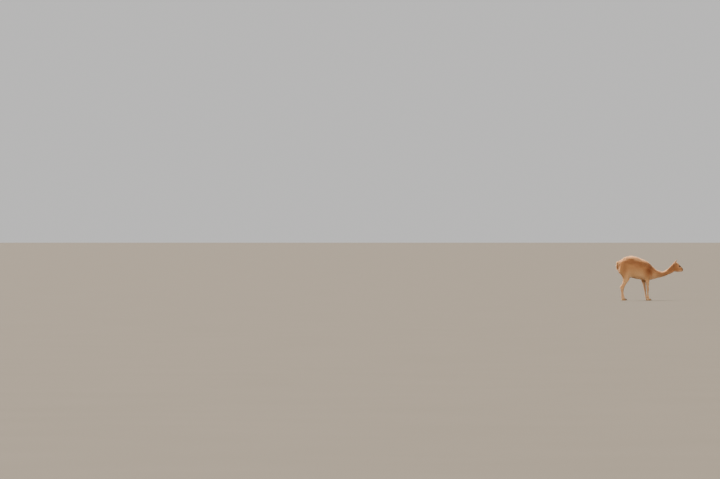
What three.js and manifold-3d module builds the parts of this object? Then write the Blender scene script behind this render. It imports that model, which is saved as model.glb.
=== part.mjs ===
// A vicuna standing still, life size, with its neck stretched low and forward and its head raised again.
// Units are millimetres. +X points to the nose, +Y to the animal's left, +Z up, and z = 0 is the ground.
import * as THREE from "three";
import { mergeVertices } from "three/addons/utils/BufferGeometryUtils.js";
import Module from "manifold-3d";

const wasm = await Module();
wasm.setup();

// Driving sizes
const BACK_HEIGHT = 908; // ground to the top of the coat over the loins
const DRAWN_HEIGHT = 908; // the same height in the station tables below
const S = BACK_HEIGHT / DRAWN_HEIGHT; // what the station tables are scaled by
const CENTRE_SHIFT = 1.834; // moves the drawn x so that the box's middle is x = 0
const GAP = 0.3; // clearance between neighbouring nodes
const EAR_LENGTH = 106;
const EAR_WIDTH = 43;
const EAR_WALL = 4.5;
const EYE_RADIUS = 18.5;
const LID_WALL = 2.5;
const EYE_OPENING = [31, 23]; // length and height between the lids
const FLEECE = 12; // how far the clumps of the fleece rise over their middle level
const CORE_DEPTH = 14; // from the ends of the coat down to the core that the clumps grow from
const FAR_FORE = { foot: -20, lean: -0.13 }; // how the left foreleg stands behind the right one
const FAR_HIND = { foot: 34, lean: -0.07 };

// Closed solids out of three.js geometry
function solid(geometry, matrix) {
  const bare = new THREE.BufferGeometry();
  bare.setAttribute("position", geometry.getAttribute("position").clone());
  if (geometry.index) bare.setIndex(geometry.index.clone());
  if (matrix) bare.applyMatrix4(matrix);
  const merged = mergeVertices(bare, 1e-4);
  return new wasm.Manifold(
    new wasm.Mesh({
      numProp: 3,
      vertProperties: new Float32Array(merged.attributes.position.array),
      triVerts: new Uint32Array(merged.index.array),
    }),
  );
}

function geometryOf(manifold) {
  const mesh = manifold.getMesh();
  const geometry = new THREE.BufferGeometry();
  geometry.setAttribute("position", new THREE.BufferAttribute(mesh.vertProperties, 3));
  geometry.setIndex(new THREE.BufferAttribute(mesh.triVerts, 1));
  const flat = geometry.toNonIndexed();
  flat.computeVertexNormals();
  return flat;
}

function largest(manifold) {
  const bodies = manifold.decompose();
  return bodies.reduce((a, b) => (b.volume() > a.volume() ? b : a));
}

const unite = (pieces) => pieces.reduce((a, b) => a.add(b));

// A uniform Catmull-Rom spline through rows of numbers, all channels at once
function along(rows, t) {
  const last = rows.length - 1;
  const i = Math.min(Math.floor(t * last), last - 1);
  const f = t * last - i;
  const at = (k) => rows[Math.max(0, Math.min(last, k))];
  const [a, b, c, d] = [at(i - 1), at(i), at(i + 1), at(i + 2)];
  return b.map(
    (v, n) =>
      v +
      0.5 * f * (c[n] - a[n] + f * (2 * a[n] - 5 * v + 4 * c[n] - d[n] + f * (3 * (v - c[n]) + d[n] - a[n]))),
  );
}

// Negative where the faces point inwards
function volumeOf(points, faces) {
  let sum = 0;
  for (let i = 0; i < faces.length; i += 3) {
    const [a, b, c] = [points[faces[i]], points[faces[i + 1]], points[faces[i + 2]]];
    sum += a.dot(b.clone().cross(c)) / 6;
  }
  return sum;
}

function closed(points, faces) {
  const geometry = new THREE.BufferGeometry().setFromPoints(points);
  geometry.setIndex(volumeOf(points, faces) < 0 ? faces.reverse() : faces);
  return solid(geometry);
}

// A body cut clear of its neighbour, moved out by each shift in turn so that a gap stays between them
function clearOf(body, neighbour, shifts) {
  return shifts.reduce((rest, shift) => rest.subtract(neighbour.translate(shift)), body);
}

// Bodies are drawn through sections, each a ring about the line between two points of the side view:
// [x1, z1, x2, z2, half width, y of its middle, where it is widest from 0 at point 1 to 1, squareness]
// The point of its skin at t along the body and at a turn about it, which starts at point 1 and goes to +Y
function surface(sections, t, turn) {
  const [x1, z1, x2, z2, w, y, wide, square] = along(sections, t);
  const down = ((1 - Math.cos(turn)) / 2) ** (Math.log(wide) / Math.log(0.5));
  const out = Math.sign(Math.sin(turn)) * Math.abs(Math.sin(turn)) ** square;
  return new THREE.Vector3(x1 + (x2 - x1) * down, y + w * out, z1 + (z2 - z1) * down);
}

// Faces over rings of points that follow one another, with a fan to one more point at each end
function capped(points, rings, sides) {
  const ring = (i, j) => i * sides + (j % sides);
  const [first, final] = [points.length, points.length + 1];
  const middleOf = (i) => points.slice(ring(i, 0), ring(i, 0) + sides)
    .reduce((sum, p) => sum.add(p), new THREE.Vector3()).divideScalar(sides);
  const pole = (i, inner) => middleOf(i).add(middleOf(i).sub(middleOf(inner)).setLength(0.01));
  const ends = [pole(0, 1), pole(rings, rings - 1)];
  const faces = [];
  for (let j = 0; j < sides; j++) {
    faces.push(first, ring(0, j), ring(0, j + 1));
    faces.push(final, ring(rings, j + 1), ring(rings, j));
    for (let i = 0; i < rings; i++) {
      faces.push(ring(i, j), ring(i + 1, j), ring(i + 1, j + 1));
      faces.push(ring(i, j), ring(i + 1, j + 1), ring(i, j + 1));
    }
  }
  return closed([...points, ...ends], faces);
}

// A closed body through all its sections
function loft(sections, rings, sides) {
  const points = [];
  for (let i = 0; i <= rings; i++) {
    for (let j = 0; j < sides; j++) points.push(surface(sections, i / rings, (2 * Math.PI * j) / sides));
  }
  return capped(points, rings, sides);
}

const sized = (rows) => rows.map(([x1, z1, x2, z2, w, y, wide, square]) => [
  x1 * S, z1 * S, x2 * S, z2 * S, w * S, y * S, wide, square]);

// The same sections, drawn in on every side
const drawnIn = (rows, depth) => rows.map(([x1, z1, x2, z2, w, ...rest]) => {
  const reach = Math.hypot(x2 - x1, z2 - z1);
  const part = Math.min(depth / reach, 0.3);
  const [dx, dz] = [(x2 - x1) * part, (z2 - z1) * part];
  return [x1 + dx, z1 + dz, x2 - dx, z2 - dz, Math.max(w - depth, w * 0.6), ...rest];
});

function ellipsoid(centre, radii, tilt = 0, detail = 12) {
  const place = new THREE.Matrix4().compose(
    new THREE.Vector3(...centre).multiplyScalar(S),
    new THREE.Quaternion().setFromAxisAngle(new THREE.Vector3(0, 1, 0), tilt),
    new THREE.Vector3(...radii).multiplyScalar(S),
  );
  return solid(new THREE.SphereGeometry(1, detail, Math.round(detail * 0.7)), place);
}

// The part of a body on the side of a plane that faces along the side view's direction (nx, nz)
function side(body, [x, z], [nx, nz], gap = GAP / 2) {
  const n = new THREE.Vector2(nx, nz).normalize();
  return body.trimByPlane([n.x, 0, n.y], (n.x * x + n.y * z) * S + gap);
}

// The two sides of a cut through the side view, a gap apart
const ahead = (body, { at, faces }) => side(body, at, faces);
const behind = (body, { at, faces }) => side(body, at, [-faces[0], -faces[1]]);

// Trunk and neck in one body: top point, low point, half width
const TRUNK = sized([
  [-640, 700, -642, 690, 6, 0, 0.5, 1],
  [-630, 745, -640, 650, 48, 0, 0.5, 1],
  [-598, 802, -618, 600, 96, 0, 0.5, 1],
  [-545, 853, -560, 560, 130, 0, 0.5, 0.95],
  [-470, 890, -490, 500, 150, 0, 0.5, 0.92],
  [-390, 905, -400, 455, 161, 0, 0.52, 0.9],
  [-300, 898, -310, 432, 170, 0, 0.54, 0.9],
  [-220, 872, -225, 412, 176, 0, 0.55, 0.9],
  [-145, 842, -140, 400, 176, 0, 0.55, 0.9],
  [-70, 808, -60, 393, 166, 0, 0.54, 0.92],
  [-5, 765, 10, 396, 148, 0, 0.52, 0.95],
  [45, 712, 65, 408, 122, 0, 0.52, 1],
  [92, 662, 110, 424, 100, 0, 0.5, 1],
  [145, 620, 165, 437, 82, 0, 0.5, 1],
  [194, 597, 218, 449, 71, 0, 0.5, 1],
  [245, 592, 275, 463, 64, 0, 0.5, 1],
  [300, 609, 338, 487, 60, 0, 0.5, 1],
  [346, 638, 402, 514, 58, 0, 0.5, 1],
  [388, 675, 455, 538, 57, 0, 0.5, 1],
  [430, 724, 496, 562, 55, 0, 0.5, 1],
  [464, 758, 520, 588, 51, 0, 0.5, 1],
  [490, 766, 536, 612, 34, 0, 0.5, 1],
]);

// Legs: rear point, front point, half width, y
const FORELEG = sized([
  [-78, 640, 0, 660, 16, -80, 0.5, 1],
  [-112, 580, 34, 604, 48, -88, 0.5, 1],
  [-126, 524, 44, 540, 60, -92, 0.5, 1],
  [-120, 472, 28, 478, 57, -95, 0.5, 1],
  [-104, 424, 6, 420, 43, -91, 0.5, 1],
  [-86, 370, -8, 366, 33, -83, 0.5, 1],
  [-74, 310, -12, 308, 26, -77, 0.5, 1],
  [-68, 262, -15, 262, 23, -74, 0.5, 1],
  [-66, 232, -10, 234, 24, -73, 0.5, 0.9],
  [-61, 200, -16, 203, 20, -72, 0.5, 1],
  [-57, 150, -22, 152, 16, -71, 0.5, 1],
  [-56, 105, -20, 107, 16, -70, 0.5, 1],
  [-61, 72, -14, 77, 20, -70, 0.5, 1],
  [-54, 46, -6, 54, 21, -70, 0.5, 1],
  [-46, 24, -4, 30, 18, -70, 0.5, 1],
]);
const HINDLEG = sized([
  [-560, 770, -450, 800, 30, -66, 0.5, 1],
  [-600, 704, -405, 740, 50, -78, 0.5, 1],
  [-626, 634, -376, 655, 67, -86, 0.5, 1],
  [-608, 566, -364, 565, 74, -93, 0.5, 1],
  [-576, 516, -372, 488, 68, -98, 0.5, 1],
  [-548, 472, -396, 432, 55, -98, 0.5, 1],
  [-535, 426, -430, 386, 43, -96, 0.5, 1],
  [-540, 376, -460, 346, 34, -94, 0.5, 1],
  [-560, 326, -486, 306, 29, -92, 0.5, 1],
  [-592, 284, -510, 268, 26, -90, 0.5, 1],
  [-598, 256, -522, 240, 25, -89, 0.5, 1],
  [-586, 220, -532, 212, 20, -88, 0.5, 1],
  [-576, 168, -538, 166, 17, -87, 0.5, 1],
  [-572, 114, -534, 115, 17, -86, 0.5, 1],
  [-576, 76, -528, 80, 21, -86, 0.5, 1],
  [-568, 47, -520, 55, 22, -86, 0.5, 1],
  [-560, 24, -518, 30, 19, -86, 0.5, 1],
]);
// One toe, from its heel to its tip, about the middle of the foot: top point, low point, half width
const TOE = [
  [-30, 16, -30, 8, 5, 0, 0.5, 1],
  [-22, 36, -24, -2, 12, 0, 0.5, 0.9],
  [-2, 46, -4, -4, 15, 0, 0.5, 0.85],
  [20, 42, 18, -5, 15.5, 0, 0.5, 0.85],
  [38, 32, 38, -5, 14, 0, 0.5, 0.85],
  [50, 22, 51, -2, 10, 0, 0.5, 0.9],
  [56, 13, 57, 4, 4, 0, 0.5, 1],
];
const NAIL = [
  [27, 40, 28, 34, 4, 0, 0.5, 1],
  [34, 40, 34, 20, 9.5, 0, 0.5, 1],
  [45, 35, 43, 12, 11, 0, 0.5, 0.9],
  [56, 25, 52, 5, 9, 0, 0.5, 0.9],
  [63, 12, 60, 3, 5, 0, 0.5, 1],
  [65, 7, 64, 4, 2, 0, 0.5, 1],
];
const TOE_SPREAD = 15.5; // the toes' middles, out from the foot's middle
const TOE_SPLAY = 0.1;
const NAIL_CUT = { at: [40, 26], faces: [0.75, 0.66] }; // parts a toe from the nail ahead of it

// How a left leg differs from the right one: mirrored, and leaning about its foot
function mirrored(rows, { foot, lean }) {
  const moved = (x, z) => x + foot * S + lean * z;
  return rows.map(([x1, z1, x2, z2, w, y, wide, square]) => [
    moved(x1, z1), z1, moved(x2, z2), z2, w, -y, wide, square]);
}

// Where each leg stands, and the heights of the cuts at the trunk, below the knee or hock, and at the pastern
const FORE_CUTS = { top: 388, joint: 226, pastern: 60 };
const HIND_CUTS = { top: 424, joint: 236, pastern: 62 };
const LEGS = {
  foreleg_right: { rows: FORELEG, foot: [-26, -70], cuts: FORE_CUTS },
  foreleg_left: { rows: mirrored(FORELEG, FAR_FORE), foot: [-26 + FAR_FORE.foot, 70], cuts: FORE_CUTS },
  hindleg_right: { rows: HINDLEG, foot: [-540, -86], cuts: HIND_CUTS },
  hindleg_left: { rows: mirrored(HINDLEG, FAR_HIND), foot: [-540 + FAR_HIND.foot, 86], cuts: HIND_CUTS },
};
const HIND_FRONT = -350; // the hind legs' cuts reach no further forward than this x

// Head: top point, low point, half width
const HEAD = sized([
  [456, 704, 454, 694, 4, 0, 0.5, 1],
  [472, 754, 456, 640, 40, 0, 0.5, 1],
  [503, 778, 474, 598, 56, 0, 0.5, 1],
  [537, 768, 503, 580, 61, 0, 0.47, 0.95],
  [564, 747, 532, 573, 60, 0, 0.44, 0.92],
  [588, 724, 560, 571, 55, 0, 0.42, 0.9],
  [609, 702, 585, 572, 46, 0, 0.44, 0.9],
  [629, 682, 607, 573, 37, 0, 0.48, 0.92],
  [646, 664, 628, 575, 31, 0, 0.52, 0.9],
  [660, 646, 646, 579, 28, 0, 0.54, 0.85],
  [669, 630, 660, 585, 23, 0, 0.5, 0.85],
  [674, 618, 670, 600, 11, 0, 0.5, 0.9],
]);

// Tail, hanging against the rump: rear point, front point, half width
const TAIL = sized([
  [-590, 815, -560, 770, 14, 0, 0.5, 1],
  [-636, 800, -590, 756, 24, 0, 0.5, 1],
  [-663, 760, -628, 740, 29, 0, 0.5, 1],
  [-673, 714, -637, 706, 31, 0, 0.5, 1],
  [-672, 674, -635, 670, 27, 0, 0.5, 1],
  [-663, 642, -636, 644, 19, 0, 0.5, 1],
  [-652, 622, -642, 628, 6, 0, 0.5, 1],
]);

// Where the nodes part: a point in the side view and the direction, towards the nose, that the cut faces
const HEAD_CUT = { at: [485, 665], faces: [0.996, 0.091] };
const NECK_CUT = { at: [241, 525], faces: [0.992, 0.128] };
const CHEST_CUT = { at: [55, 572], faces: [0.983, 0.182] };

// Face
const EYE = { at: [594, 38, 684], looks: [0.28, 1, 0.1], tilt: -0.35 };
const NOSTRIL = { at: [664, 12.5, 631], radii: [10, 4, 4.5], tilt: 0.9 };
const MOUTH = [[700, 598], [668, 599], [650, 601], [635, 606], [623, 613]]; // from the front to its corner
const MOUTH_GAP = 1.6;
const LIPS = [
  { at: [663, 8, 609], radii: [10, 9, 9], tilt: 0.4 },
  { at: [663, -8, 609], radii: [10, 9, 9], tilt: 0.4 },
  { at: [655, 0, 590], radii: [14, 17, 9], tilt: -0.3 },
  { at: [659, 11, 633], radii: [12, 9, 8], tilt: 0.6 },
  { at: [659, -11, 633], radii: [12, 9, 8], tilt: 0.6 },
];
const BROW = { at: [588, 34, 686], radii: [38, 19, 25], tilt: 0.6 };
const EAR = { root: [510, 36, 732], points: [0.36, 0.44, 0.82], opens: [0.8, 0.6, 0] };

// One clump of fleece, for a length of 1: root to tip along x, its skin side at z = 0
const CLUMP = [
  [-0.5, -0.2, -0.5, -1.2, 0.22, 0, 0.5, 1],
  [-0.2, 0.75, -0.2, -1.5, 0.47, 0, 0.45, 1],
  [0.2, 1, 0.2, -1.5, 0.51, 0, 0.45, 1],
  [0.5, 0.15, 0.48, -1.2, 0.28, 0, 0.5, 1],
];
const CLUMP_RINGS = 3;
const CLUMP_SIDES = 5;
const ROW_SPACING = 0.84; // of a clump's length
// Where clumps grow: from and to along the body, their length and width, the droop of their tips in radians,
// and the turns about the body that they keep to
const FLEECES = {
  trunk: { span: [0.085, 0.53], length: 156, width: 132, droop: 0.5, turns: [0, 2 * Math.PI] },
  neck: { span: [0.575, 0.95], length: 136, width: 106, droop: 0.3, turns: [0, 2 * Math.PI] },
  thigh: { span: [0.18, 0.4], length: 120, width: 104, droop: 0, turns: [-0.5, 2.6] },
  shoulder: { span: [0.16, 0.24], length: 96, width: 80, droop: 0, turns: [0.3, 2.8] },
  tail: { span: [0.3, 0.8], length: 90, width: 50, droop: 0, turns: [-1.3, 1.3] },
};

const UNDER_TAIL = { x: -560, y: 50 }; // no clumps behind this x and within this y, where the tail hangs

const vector = (v) => new THREE.Vector3(...v);

// The same matrix for the right side: y mirrored in the place, the body itself unchanged
function frameOf(origin, x, y, z) {
  return new THREE.Matrix4().makeBasis(x, y, z).setPosition(origin);
}

// Axes at an eye: z looks out of the head and x runs along the opening towards the nose
function eyeFrame(hand) {
  const [x, y, z] = EYE.at;
  const out = vector([EYE.looks[0], EYE.looks[1] * hand, EYE.looks[2]]).normalize();
  const forward = vector([Math.cos(EYE.tilt), 0, Math.sin(EYE.tilt)]);
  const up = out.clone().cross(forward).normalize();
  return frameOf(vector([x, y * hand, z]).multiplyScalar(S), up.clone().cross(out), up, out);
}

function eyeOpening(hand) {
  const [length, height] = EYE_OPENING;
  const almond = new THREE.Shape();
  almond.moveTo(-length / 2, 0);
  almond.quadraticCurveTo(0, height, length / 2, 0);
  almond.quadraticCurveTo(0, -height, -length / 2, 0);
  const options = { depth: 3 * EYE_RADIUS, bevelEnabled: false, curveSegments: 6 };
  return solid(new THREE.ExtrudeGeometry(almond, options), eyeFrame(hand));
}

function ball(radius, hand, detail) {
  const sphere = new THREE.SphereGeometry(radius, detail, Math.round(detail * 0.7));
  return solid(sphere, eyeFrame(hand).multiply(new THREE.Matrix4().makeRotationX(Math.PI / 2)));
}

// A thin slit along the mouth's line, through from cheek to cheek and closing to nothing at its corner
function mouthSlit() {
  const upper = MOUTH.map(([x, z], i) => new THREE.Vector2(x, z + (MOUTH_GAP / 2) * (1 - i / MOUTH.length)));
  const lower = MOUTH.map(([x, z], i) => new THREE.Vector2(x, z - (MOUTH_GAP / 2) * (1 - i / MOUTH.length)));
  const outline = new THREE.Shape([...upper, ...lower.reverse()]);
  const width = 120;
  const slit = new THREE.ExtrudeGeometry(outline, { depth: width, bevelEnabled: false });
  slit.translate(0, 0, -width / 2);
  slit.rotateX(Math.PI / 2);
  slit.scale(S, S, S);
  return solid(slit);
}

// A cupped, pointed leaf. Rows run from the sunk root to the tip and columns across from edge to edge.
function ear(hand) {
  const rows = 8;
  const columns = 6;
  const up = vector([EAR.points[0], EAR.points[1] * hand, EAR.points[2]]).normalize();
  const facing = vector([EAR.opens[0], EAR.opens[1] * hand, EAR.opens[2]]);
  const open = facing.sub(up.clone().multiplyScalar(facing.dot(up))).normalize();
  const across = open.clone().cross(up);
  const widths = [[0.55], [0.7], [0.86], [1], [0.98], [0.84], [0.6], [0.3], [0.07]];
  const root = vector([EAR.root[0], EAR.root[1] * hand, EAR.root[2]]).multiplyScalar(S);
  const sheet = (wall) => {
    const points = [];
    for (let i = 0; i <= rows; i++) {
      const t = i / rows;
      const half = (EAR_WIDTH / 2) * along(widths, t)[0];
      const curl = 0.45 + 1.5 * (1 - t) ** 1.6; // how far round the cup goes to each side of its back
      const radius = half / Math.sin(Math.min(curl, Math.PI / 2));
      const height = EAR_LENGTH * (t * 1.12 - 0.12);
      for (let j = 0; j <= columns; j++) {
        const edge = (2 * j) / columns - 1;
        const thick = wall * (1 - 0.55 * edge * edge) * (1 - 0.6 * t);
        const r = radius - Math.min(thick, radius * 0.8);
        const x = r * Math.sin(edge * curl);
        const y = radius * Math.cos(curl) - r * Math.cos(edge * curl);
        const bow = -9 * Math.sin(Math.PI * t); // the blade bows back between its root and tip
        points.push(
          root.clone().addScaledVector(up, height).addScaledVector(across, x).addScaledVector(open, y + bow),
        );
      }
    }
    return points;
  };
  const points = [...sheet(0), ...sheet(EAR_WALL)];
  const inner = points.length / 2;
  const at = (i, j) => i * (columns + 1) + j;
  const faces = [];
  for (let i = 0; i < rows; i++) {
    for (let j = 0; j < columns; j++) {
      const quad = [at(i, j), at(i, j + 1), at(i + 1, j + 1), at(i + 1, j)];
      const [a, b, c, d] = quad;
      faces.push(a, b, c, a, c, d);
      faces.push(a + inner, c + inner, b + inner, a + inner, d + inner, c + inner);
    }
  }
  const rim = [];
  for (let j = 0; j < columns; j++) rim.push(at(0, j));
  for (let i = 0; i < rows; i++) rim.push(at(i, columns));
  for (let j = columns; j > 0; j--) rim.push(at(rows, j));
  for (let i = rows; i > 0; i--) rim.push(at(i, 0));
  rim.forEach((a, k) => {
    const b = rim[(k + 1) % rim.length];
    faces.push(a, b + inner, b, a, a + inner, b + inner);
  });
  return closed(points, faces);
}

// Both toes of a foot, or their nails, in the foot's place
function onToes([x, y], body) {
  return [-1, 1].map((hand) => {
    const place = new THREE.Matrix4()
      .makeTranslation(x * S, y * S, 0)
      .multiply(new THREE.Matrix4().makeRotationZ(hand * TOE_SPLAY))
      .multiply(new THREE.Matrix4().makeTranslation(0, hand * TOE_SPREAD * S, 0));
    return body.transform(place.elements);
  });
}

// Numbers between two limits, the same ones each time
let seed = 7;
function random(low, high) {
  seed = (seed * 16807) % 2147483647;
  return low + ((high - low) * seed) / 2147483647;
}

// A clump laid on the skin of a body at t and turn, its tip turned by swing from the way that t falls
function clump(sections, t, turn, { length, width }, swing, way) {
  const step = 1e-3;
  const here = surface(sections, t, turn);
  const perT = surface(sections, t + step, turn).distanceTo(here) / step;
  const perTurn = surface(sections, t, turn + step).distanceTo(here) / step;
  const middle = surface(sections, t, turn + Math.PI).add(here).multiplyScalar(0.5);
  const place = (x, across, rise) => {
    const a = (x * Math.cos(swing) - across * Math.sin(swing)) * way;
    const b = x * Math.sin(swing) + across * Math.cos(swing);
    const [u, v] = [Math.max(0.002, Math.min(0.998, t + a / perT)), turn + b / perTurn];
    const point = surface(sections, u, v);
    const alongBody = surface(sections, u + step, v).sub(surface(sections, u - step, v));
    const round = surface(sections, u, v + step).sub(surface(sections, u, v - step));
    const normal = round.cross(alongBody).normalize();
    if (normal.dot(point.clone().sub(middle)) < 0) normal.negate();
    return point.addScaledVector(normal, rise);
  };
  const points = [];
  for (let i = 0; i <= CLUMP_RINGS; i++) {
    for (let j = 0; j < CLUMP_SIDES; j++) {
      const local = surface(CLUMP, i / CLUMP_RINGS, (2 * Math.PI * j) / CLUMP_SIDES);
      points.push(place(local.x * length, local.y * width, local.z * FLEECE));
    }
  }
  return capped(points, CLUMP_RINGS, CLUMP_SIDES);
}

// Clumps in staggered rows over a body
function fleece(sections, { span, droop, turns, ...size }, way, bare = () => false) {
  const clumps = [];
  const [from, to] = span;
  const [low, high] = turns;
  const probes = 12;
  const ringAt = (t) => Array.from({ length: probes + 1 }, (_, k) =>
    surface(sections, t, low + ((high - low) * k) / probes));
  let row = 0;
  for (let t = from; t < to; row++) {
    const ring = ringAt(t);
    const girth = ring.slice(1).reduce((sum, point, k) => sum + point.distanceTo(ring[k]), 0);
    const count = Math.max(2, Math.round(girth / size.width));
    for (let k = 0; k < count; k++) {
      const turn = low + ((k + 0.5 * (row % 2) + random(0.15, 0.35)) * (high - low)) / count;
      const scale = random(0.94, 1.12);
      const grown = { length: size.length * scale, width: size.width * scale };
      const swing = droop * Math.sin(turn) + random(-0.15, 0.15);
      if (!bare(surface(sections, t, turn))) clumps.push(clump(sections, t, turn, grown, swing, way));
    }
    const step = 1e-3;
    const moved = ringAt(t + step).reduce((sum, point, k) => sum + point.distanceTo(ring[k]), 0);
    t += (size.length * ROW_SPACING * step * ring.length) / moved;
  }
  return clumps;
}
const underTail = ({ x, y }) => x < UNDER_TAIL.x * S && Math.abs(y) < UNDER_TAIL.y * S;

const woollyLevel = drawnIn(TRUNK, FLEECE);
const trunk = unite([
  loft(drawnIn(TRUNK, CORE_DEPTH), 26, 16),
  ...fleece(woollyLevel, FLEECES.trunk, -1, underTail),
  ...fleece(woollyLevel, FLEECES.neck, -1),
]);
const legs = Object.entries(LEGS).map(([name, leg]) => {
  const woolly = leg.cuts === HIND_CUTS ? FLEECES.thigh : FLEECES.shoulder;
  const outward = leg.foot[1] > 0 ? woolly.turns : woolly.turns.map((turn) => -turn).reverse();
  const clumps = fleece(leg.rows, { ...woolly, turns: outward }, 1);
  return { name, ...leg, body: unite([loft(leg.rows, 20, 10), ...clumps]) };
});
const toe = behind(loft(sized(TOE), 6, 8), NAIL_CUT);
const nail = ahead(loft(sized(NAIL), 5, 8), NAIL_CUT);
const toes = legs.flatMap((leg) => onToes(leg.foot, toe));
const lips = LIPS.map(({ at, radii, tilt }) => ellipsoid(at, radii, tilt, 6));
const lids = [-1, 1].flatMap((hand) => [
  ball(EYE_RADIUS + LID_WALL, hand, 14),
  ellipsoid([BROW.at[0], BROW.at[1] * hand, BROW.at[2]], BROW.radii, BROW.tilt, 10),
]);
const cuts = [-1, 1].flatMap((hand) => [
  ball(EYE_RADIUS + GAP, hand, 12),
  eyeOpening(hand),
  ellipsoid([NOSTRIL.at[0], NOSTRIL.at[1] * hand, NOSTRIL.at[2]], NOSTRIL.radii, NOSTRIL.tilt, 8),
]);
const skull = unite([loft(HEAD, 23, 20), ...lips, ...lids]).subtract(unite([...cuts, mouthSlit()]));
const whole = unite([trunk, skull, ...legs.map((l) => l.body), ...toes]).trimByPlane([0, 0, 1], 0);

const group = new THREE.Group();
group.position.x = CENTRE_SHIFT;
function node(name, body, material) {
  const mesh = new THREE.Mesh(geometryOf(largest(body)), material);
  mesh.name = name;
  group.add(mesh);
}

const wool = new THREE.MeshStandardMaterial({ color: 0xb5794a, roughness: 0.95 });
const face = new THREE.MeshStandardMaterial({ color: 0xb98a60, roughness: 0.85 });
const shank = new THREE.MeshStandardMaterial({ color: 0xc99e70, roughness: 0.85 });
const eyeball = new THREE.MeshStandardMaterial({ color: 0x140c08, roughness: 0.1 });
const horn = new THREE.MeshStandardMaterial({ color: 0x2e2622, roughness: 0.6 });

const above = (body, z) => side(body, [0, z], [0, 1]);
const below = (body, z) => side(body, [0, z], [0, -1]);

const front = ahead(whole, CHEST_CUT);
node("head", ahead(front, HEAD_CUT), face);
node("neck_upper", ahead(behind(front, HEAD_CUT), NECK_CUT), wool);
node("neck_lower", behind(front, NECK_CUT), wool);

const hindPart = (body) => side(body, [HIND_FRONT, 0], [-1, 0], 0);
const forePart = (body) => side(body, [HIND_FRONT, 0], [1, 0], 0);
const rear = behind(whole, CHEST_CUT);
const torso = unite([above(hindPart(rear), HIND_CUTS.top), above(forePart(rear), FORE_CUTS.top)]);
node("torso", torso, wool);

for (const leg of legs) {
  const [, y] = leg.foot;
  const region = leg.cuts === HIND_CUTS ? hindPart(rear) : forePart(rear);
  const column = below(region.trimByPlane([0, Math.sign(y), 0], 0), leg.cuts.top);
  node(leg.name + "_upper", above(column, leg.cuts.joint), shank);
  node(leg.name + "_shank", above(below(column, leg.cuts.joint), leg.cuts.pastern), shank);
  node(leg.name + "_foot", below(column, leg.cuts.pastern), shank);
  const nails = onToes(leg.foot, nail);
  node(leg.name + "_nail_right", nails[0], horn);
  node(leg.name + "_nail_left", nails[1], horn);
}

const tailCore = drawnIn(TAIL, FLEECE / 2);
const tailFleece = fleece(tailCore, FLEECES.tail, 1);
const brush = unite([loft(tailCore, 7, 8), ...tailFleece]);
node("tail", clearOf(brush, torso, [[-GAP, 0, GAP], [-GAP, 0, -GAP]]), wool);
for (const [hand, label] of [[-1, "right"], [1, "left"]]) {
  const earShifts = [[0, 0, 0.5], [0.3, hand * 0.3, 0.3]];
  node("ear_" + label, clearOf(ear(hand), unite([skull, trunk]), earShifts), face);
  node("eye_" + label, ball(EYE_RADIUS, hand, 12), eyeball);
}
export default group;
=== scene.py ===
# %% [markdown]
# A vicuna, life size and standing still. The solids give its size, its stance and where every part is. This
# lesson dresses them: one smooth skin in place of the nodes of flesh, eyes that look out from between lids,
# nails, and a coat of many thousand small bent tufts that follow the lie of the real fleece.
# Everything is in metres, +X runs towards the nose, +Y to the animal's left and +Z up.

# %% The frame
import math
import bmesh
import bpy
import numpy as np
from mathutils import Matrix, Vector
from mathutils.bvhtree import BVHTree
from mathutils.kdtree import KDTree


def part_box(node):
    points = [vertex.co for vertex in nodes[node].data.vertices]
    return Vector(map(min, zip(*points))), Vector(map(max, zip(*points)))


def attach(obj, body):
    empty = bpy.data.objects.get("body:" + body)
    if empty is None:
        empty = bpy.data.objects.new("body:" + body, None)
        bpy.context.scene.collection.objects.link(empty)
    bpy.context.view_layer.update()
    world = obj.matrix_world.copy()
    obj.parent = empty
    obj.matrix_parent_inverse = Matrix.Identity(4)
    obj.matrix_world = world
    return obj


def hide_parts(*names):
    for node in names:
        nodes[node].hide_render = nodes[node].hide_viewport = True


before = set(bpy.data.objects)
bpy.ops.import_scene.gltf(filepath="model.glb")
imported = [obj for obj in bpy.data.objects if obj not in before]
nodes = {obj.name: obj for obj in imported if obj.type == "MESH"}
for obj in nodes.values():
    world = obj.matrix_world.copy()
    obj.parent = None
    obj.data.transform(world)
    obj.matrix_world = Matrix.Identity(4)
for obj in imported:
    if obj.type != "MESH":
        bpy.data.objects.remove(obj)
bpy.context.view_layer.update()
rng = np.random.default_rng(11)
MM = 0.001
SHIFT = 1.834 * MM  # the drawing's x = 0 lies this far in front of the middle of the box
HANDS = {"right": -1, "left": 1}


def at(x, z, y=0.0):
    """A place given in the drawing's millimetres."""
    return np.array([x * MM + SHIFT, y * MM, z * MM])


def drawn(points):
    """The x, y and z of points, in the drawing's millimetres."""
    return (points[:, 0] - SHIFT) * 1000, points[:, 1] * 1000, points[:, 2] * 1000


def placed(name, data):
    """A new object in the scene, showing some data."""
    made = bpy.data.objects.new(name, data)
    bpy.context.scene.collection.objects.link(made)
    return made


# %% [markdown]
# The camera comes first, because it decides what has to look right. The picture was taken from far off with
# a long lens, from a little above the animal's back, so the view is nearly flat. One pixel of it is 20 mm at
# the animal. The numbers below are read in the picture: where the animal's middle stands, where the ground
# meets its feet, and the height of the horizon.

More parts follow.
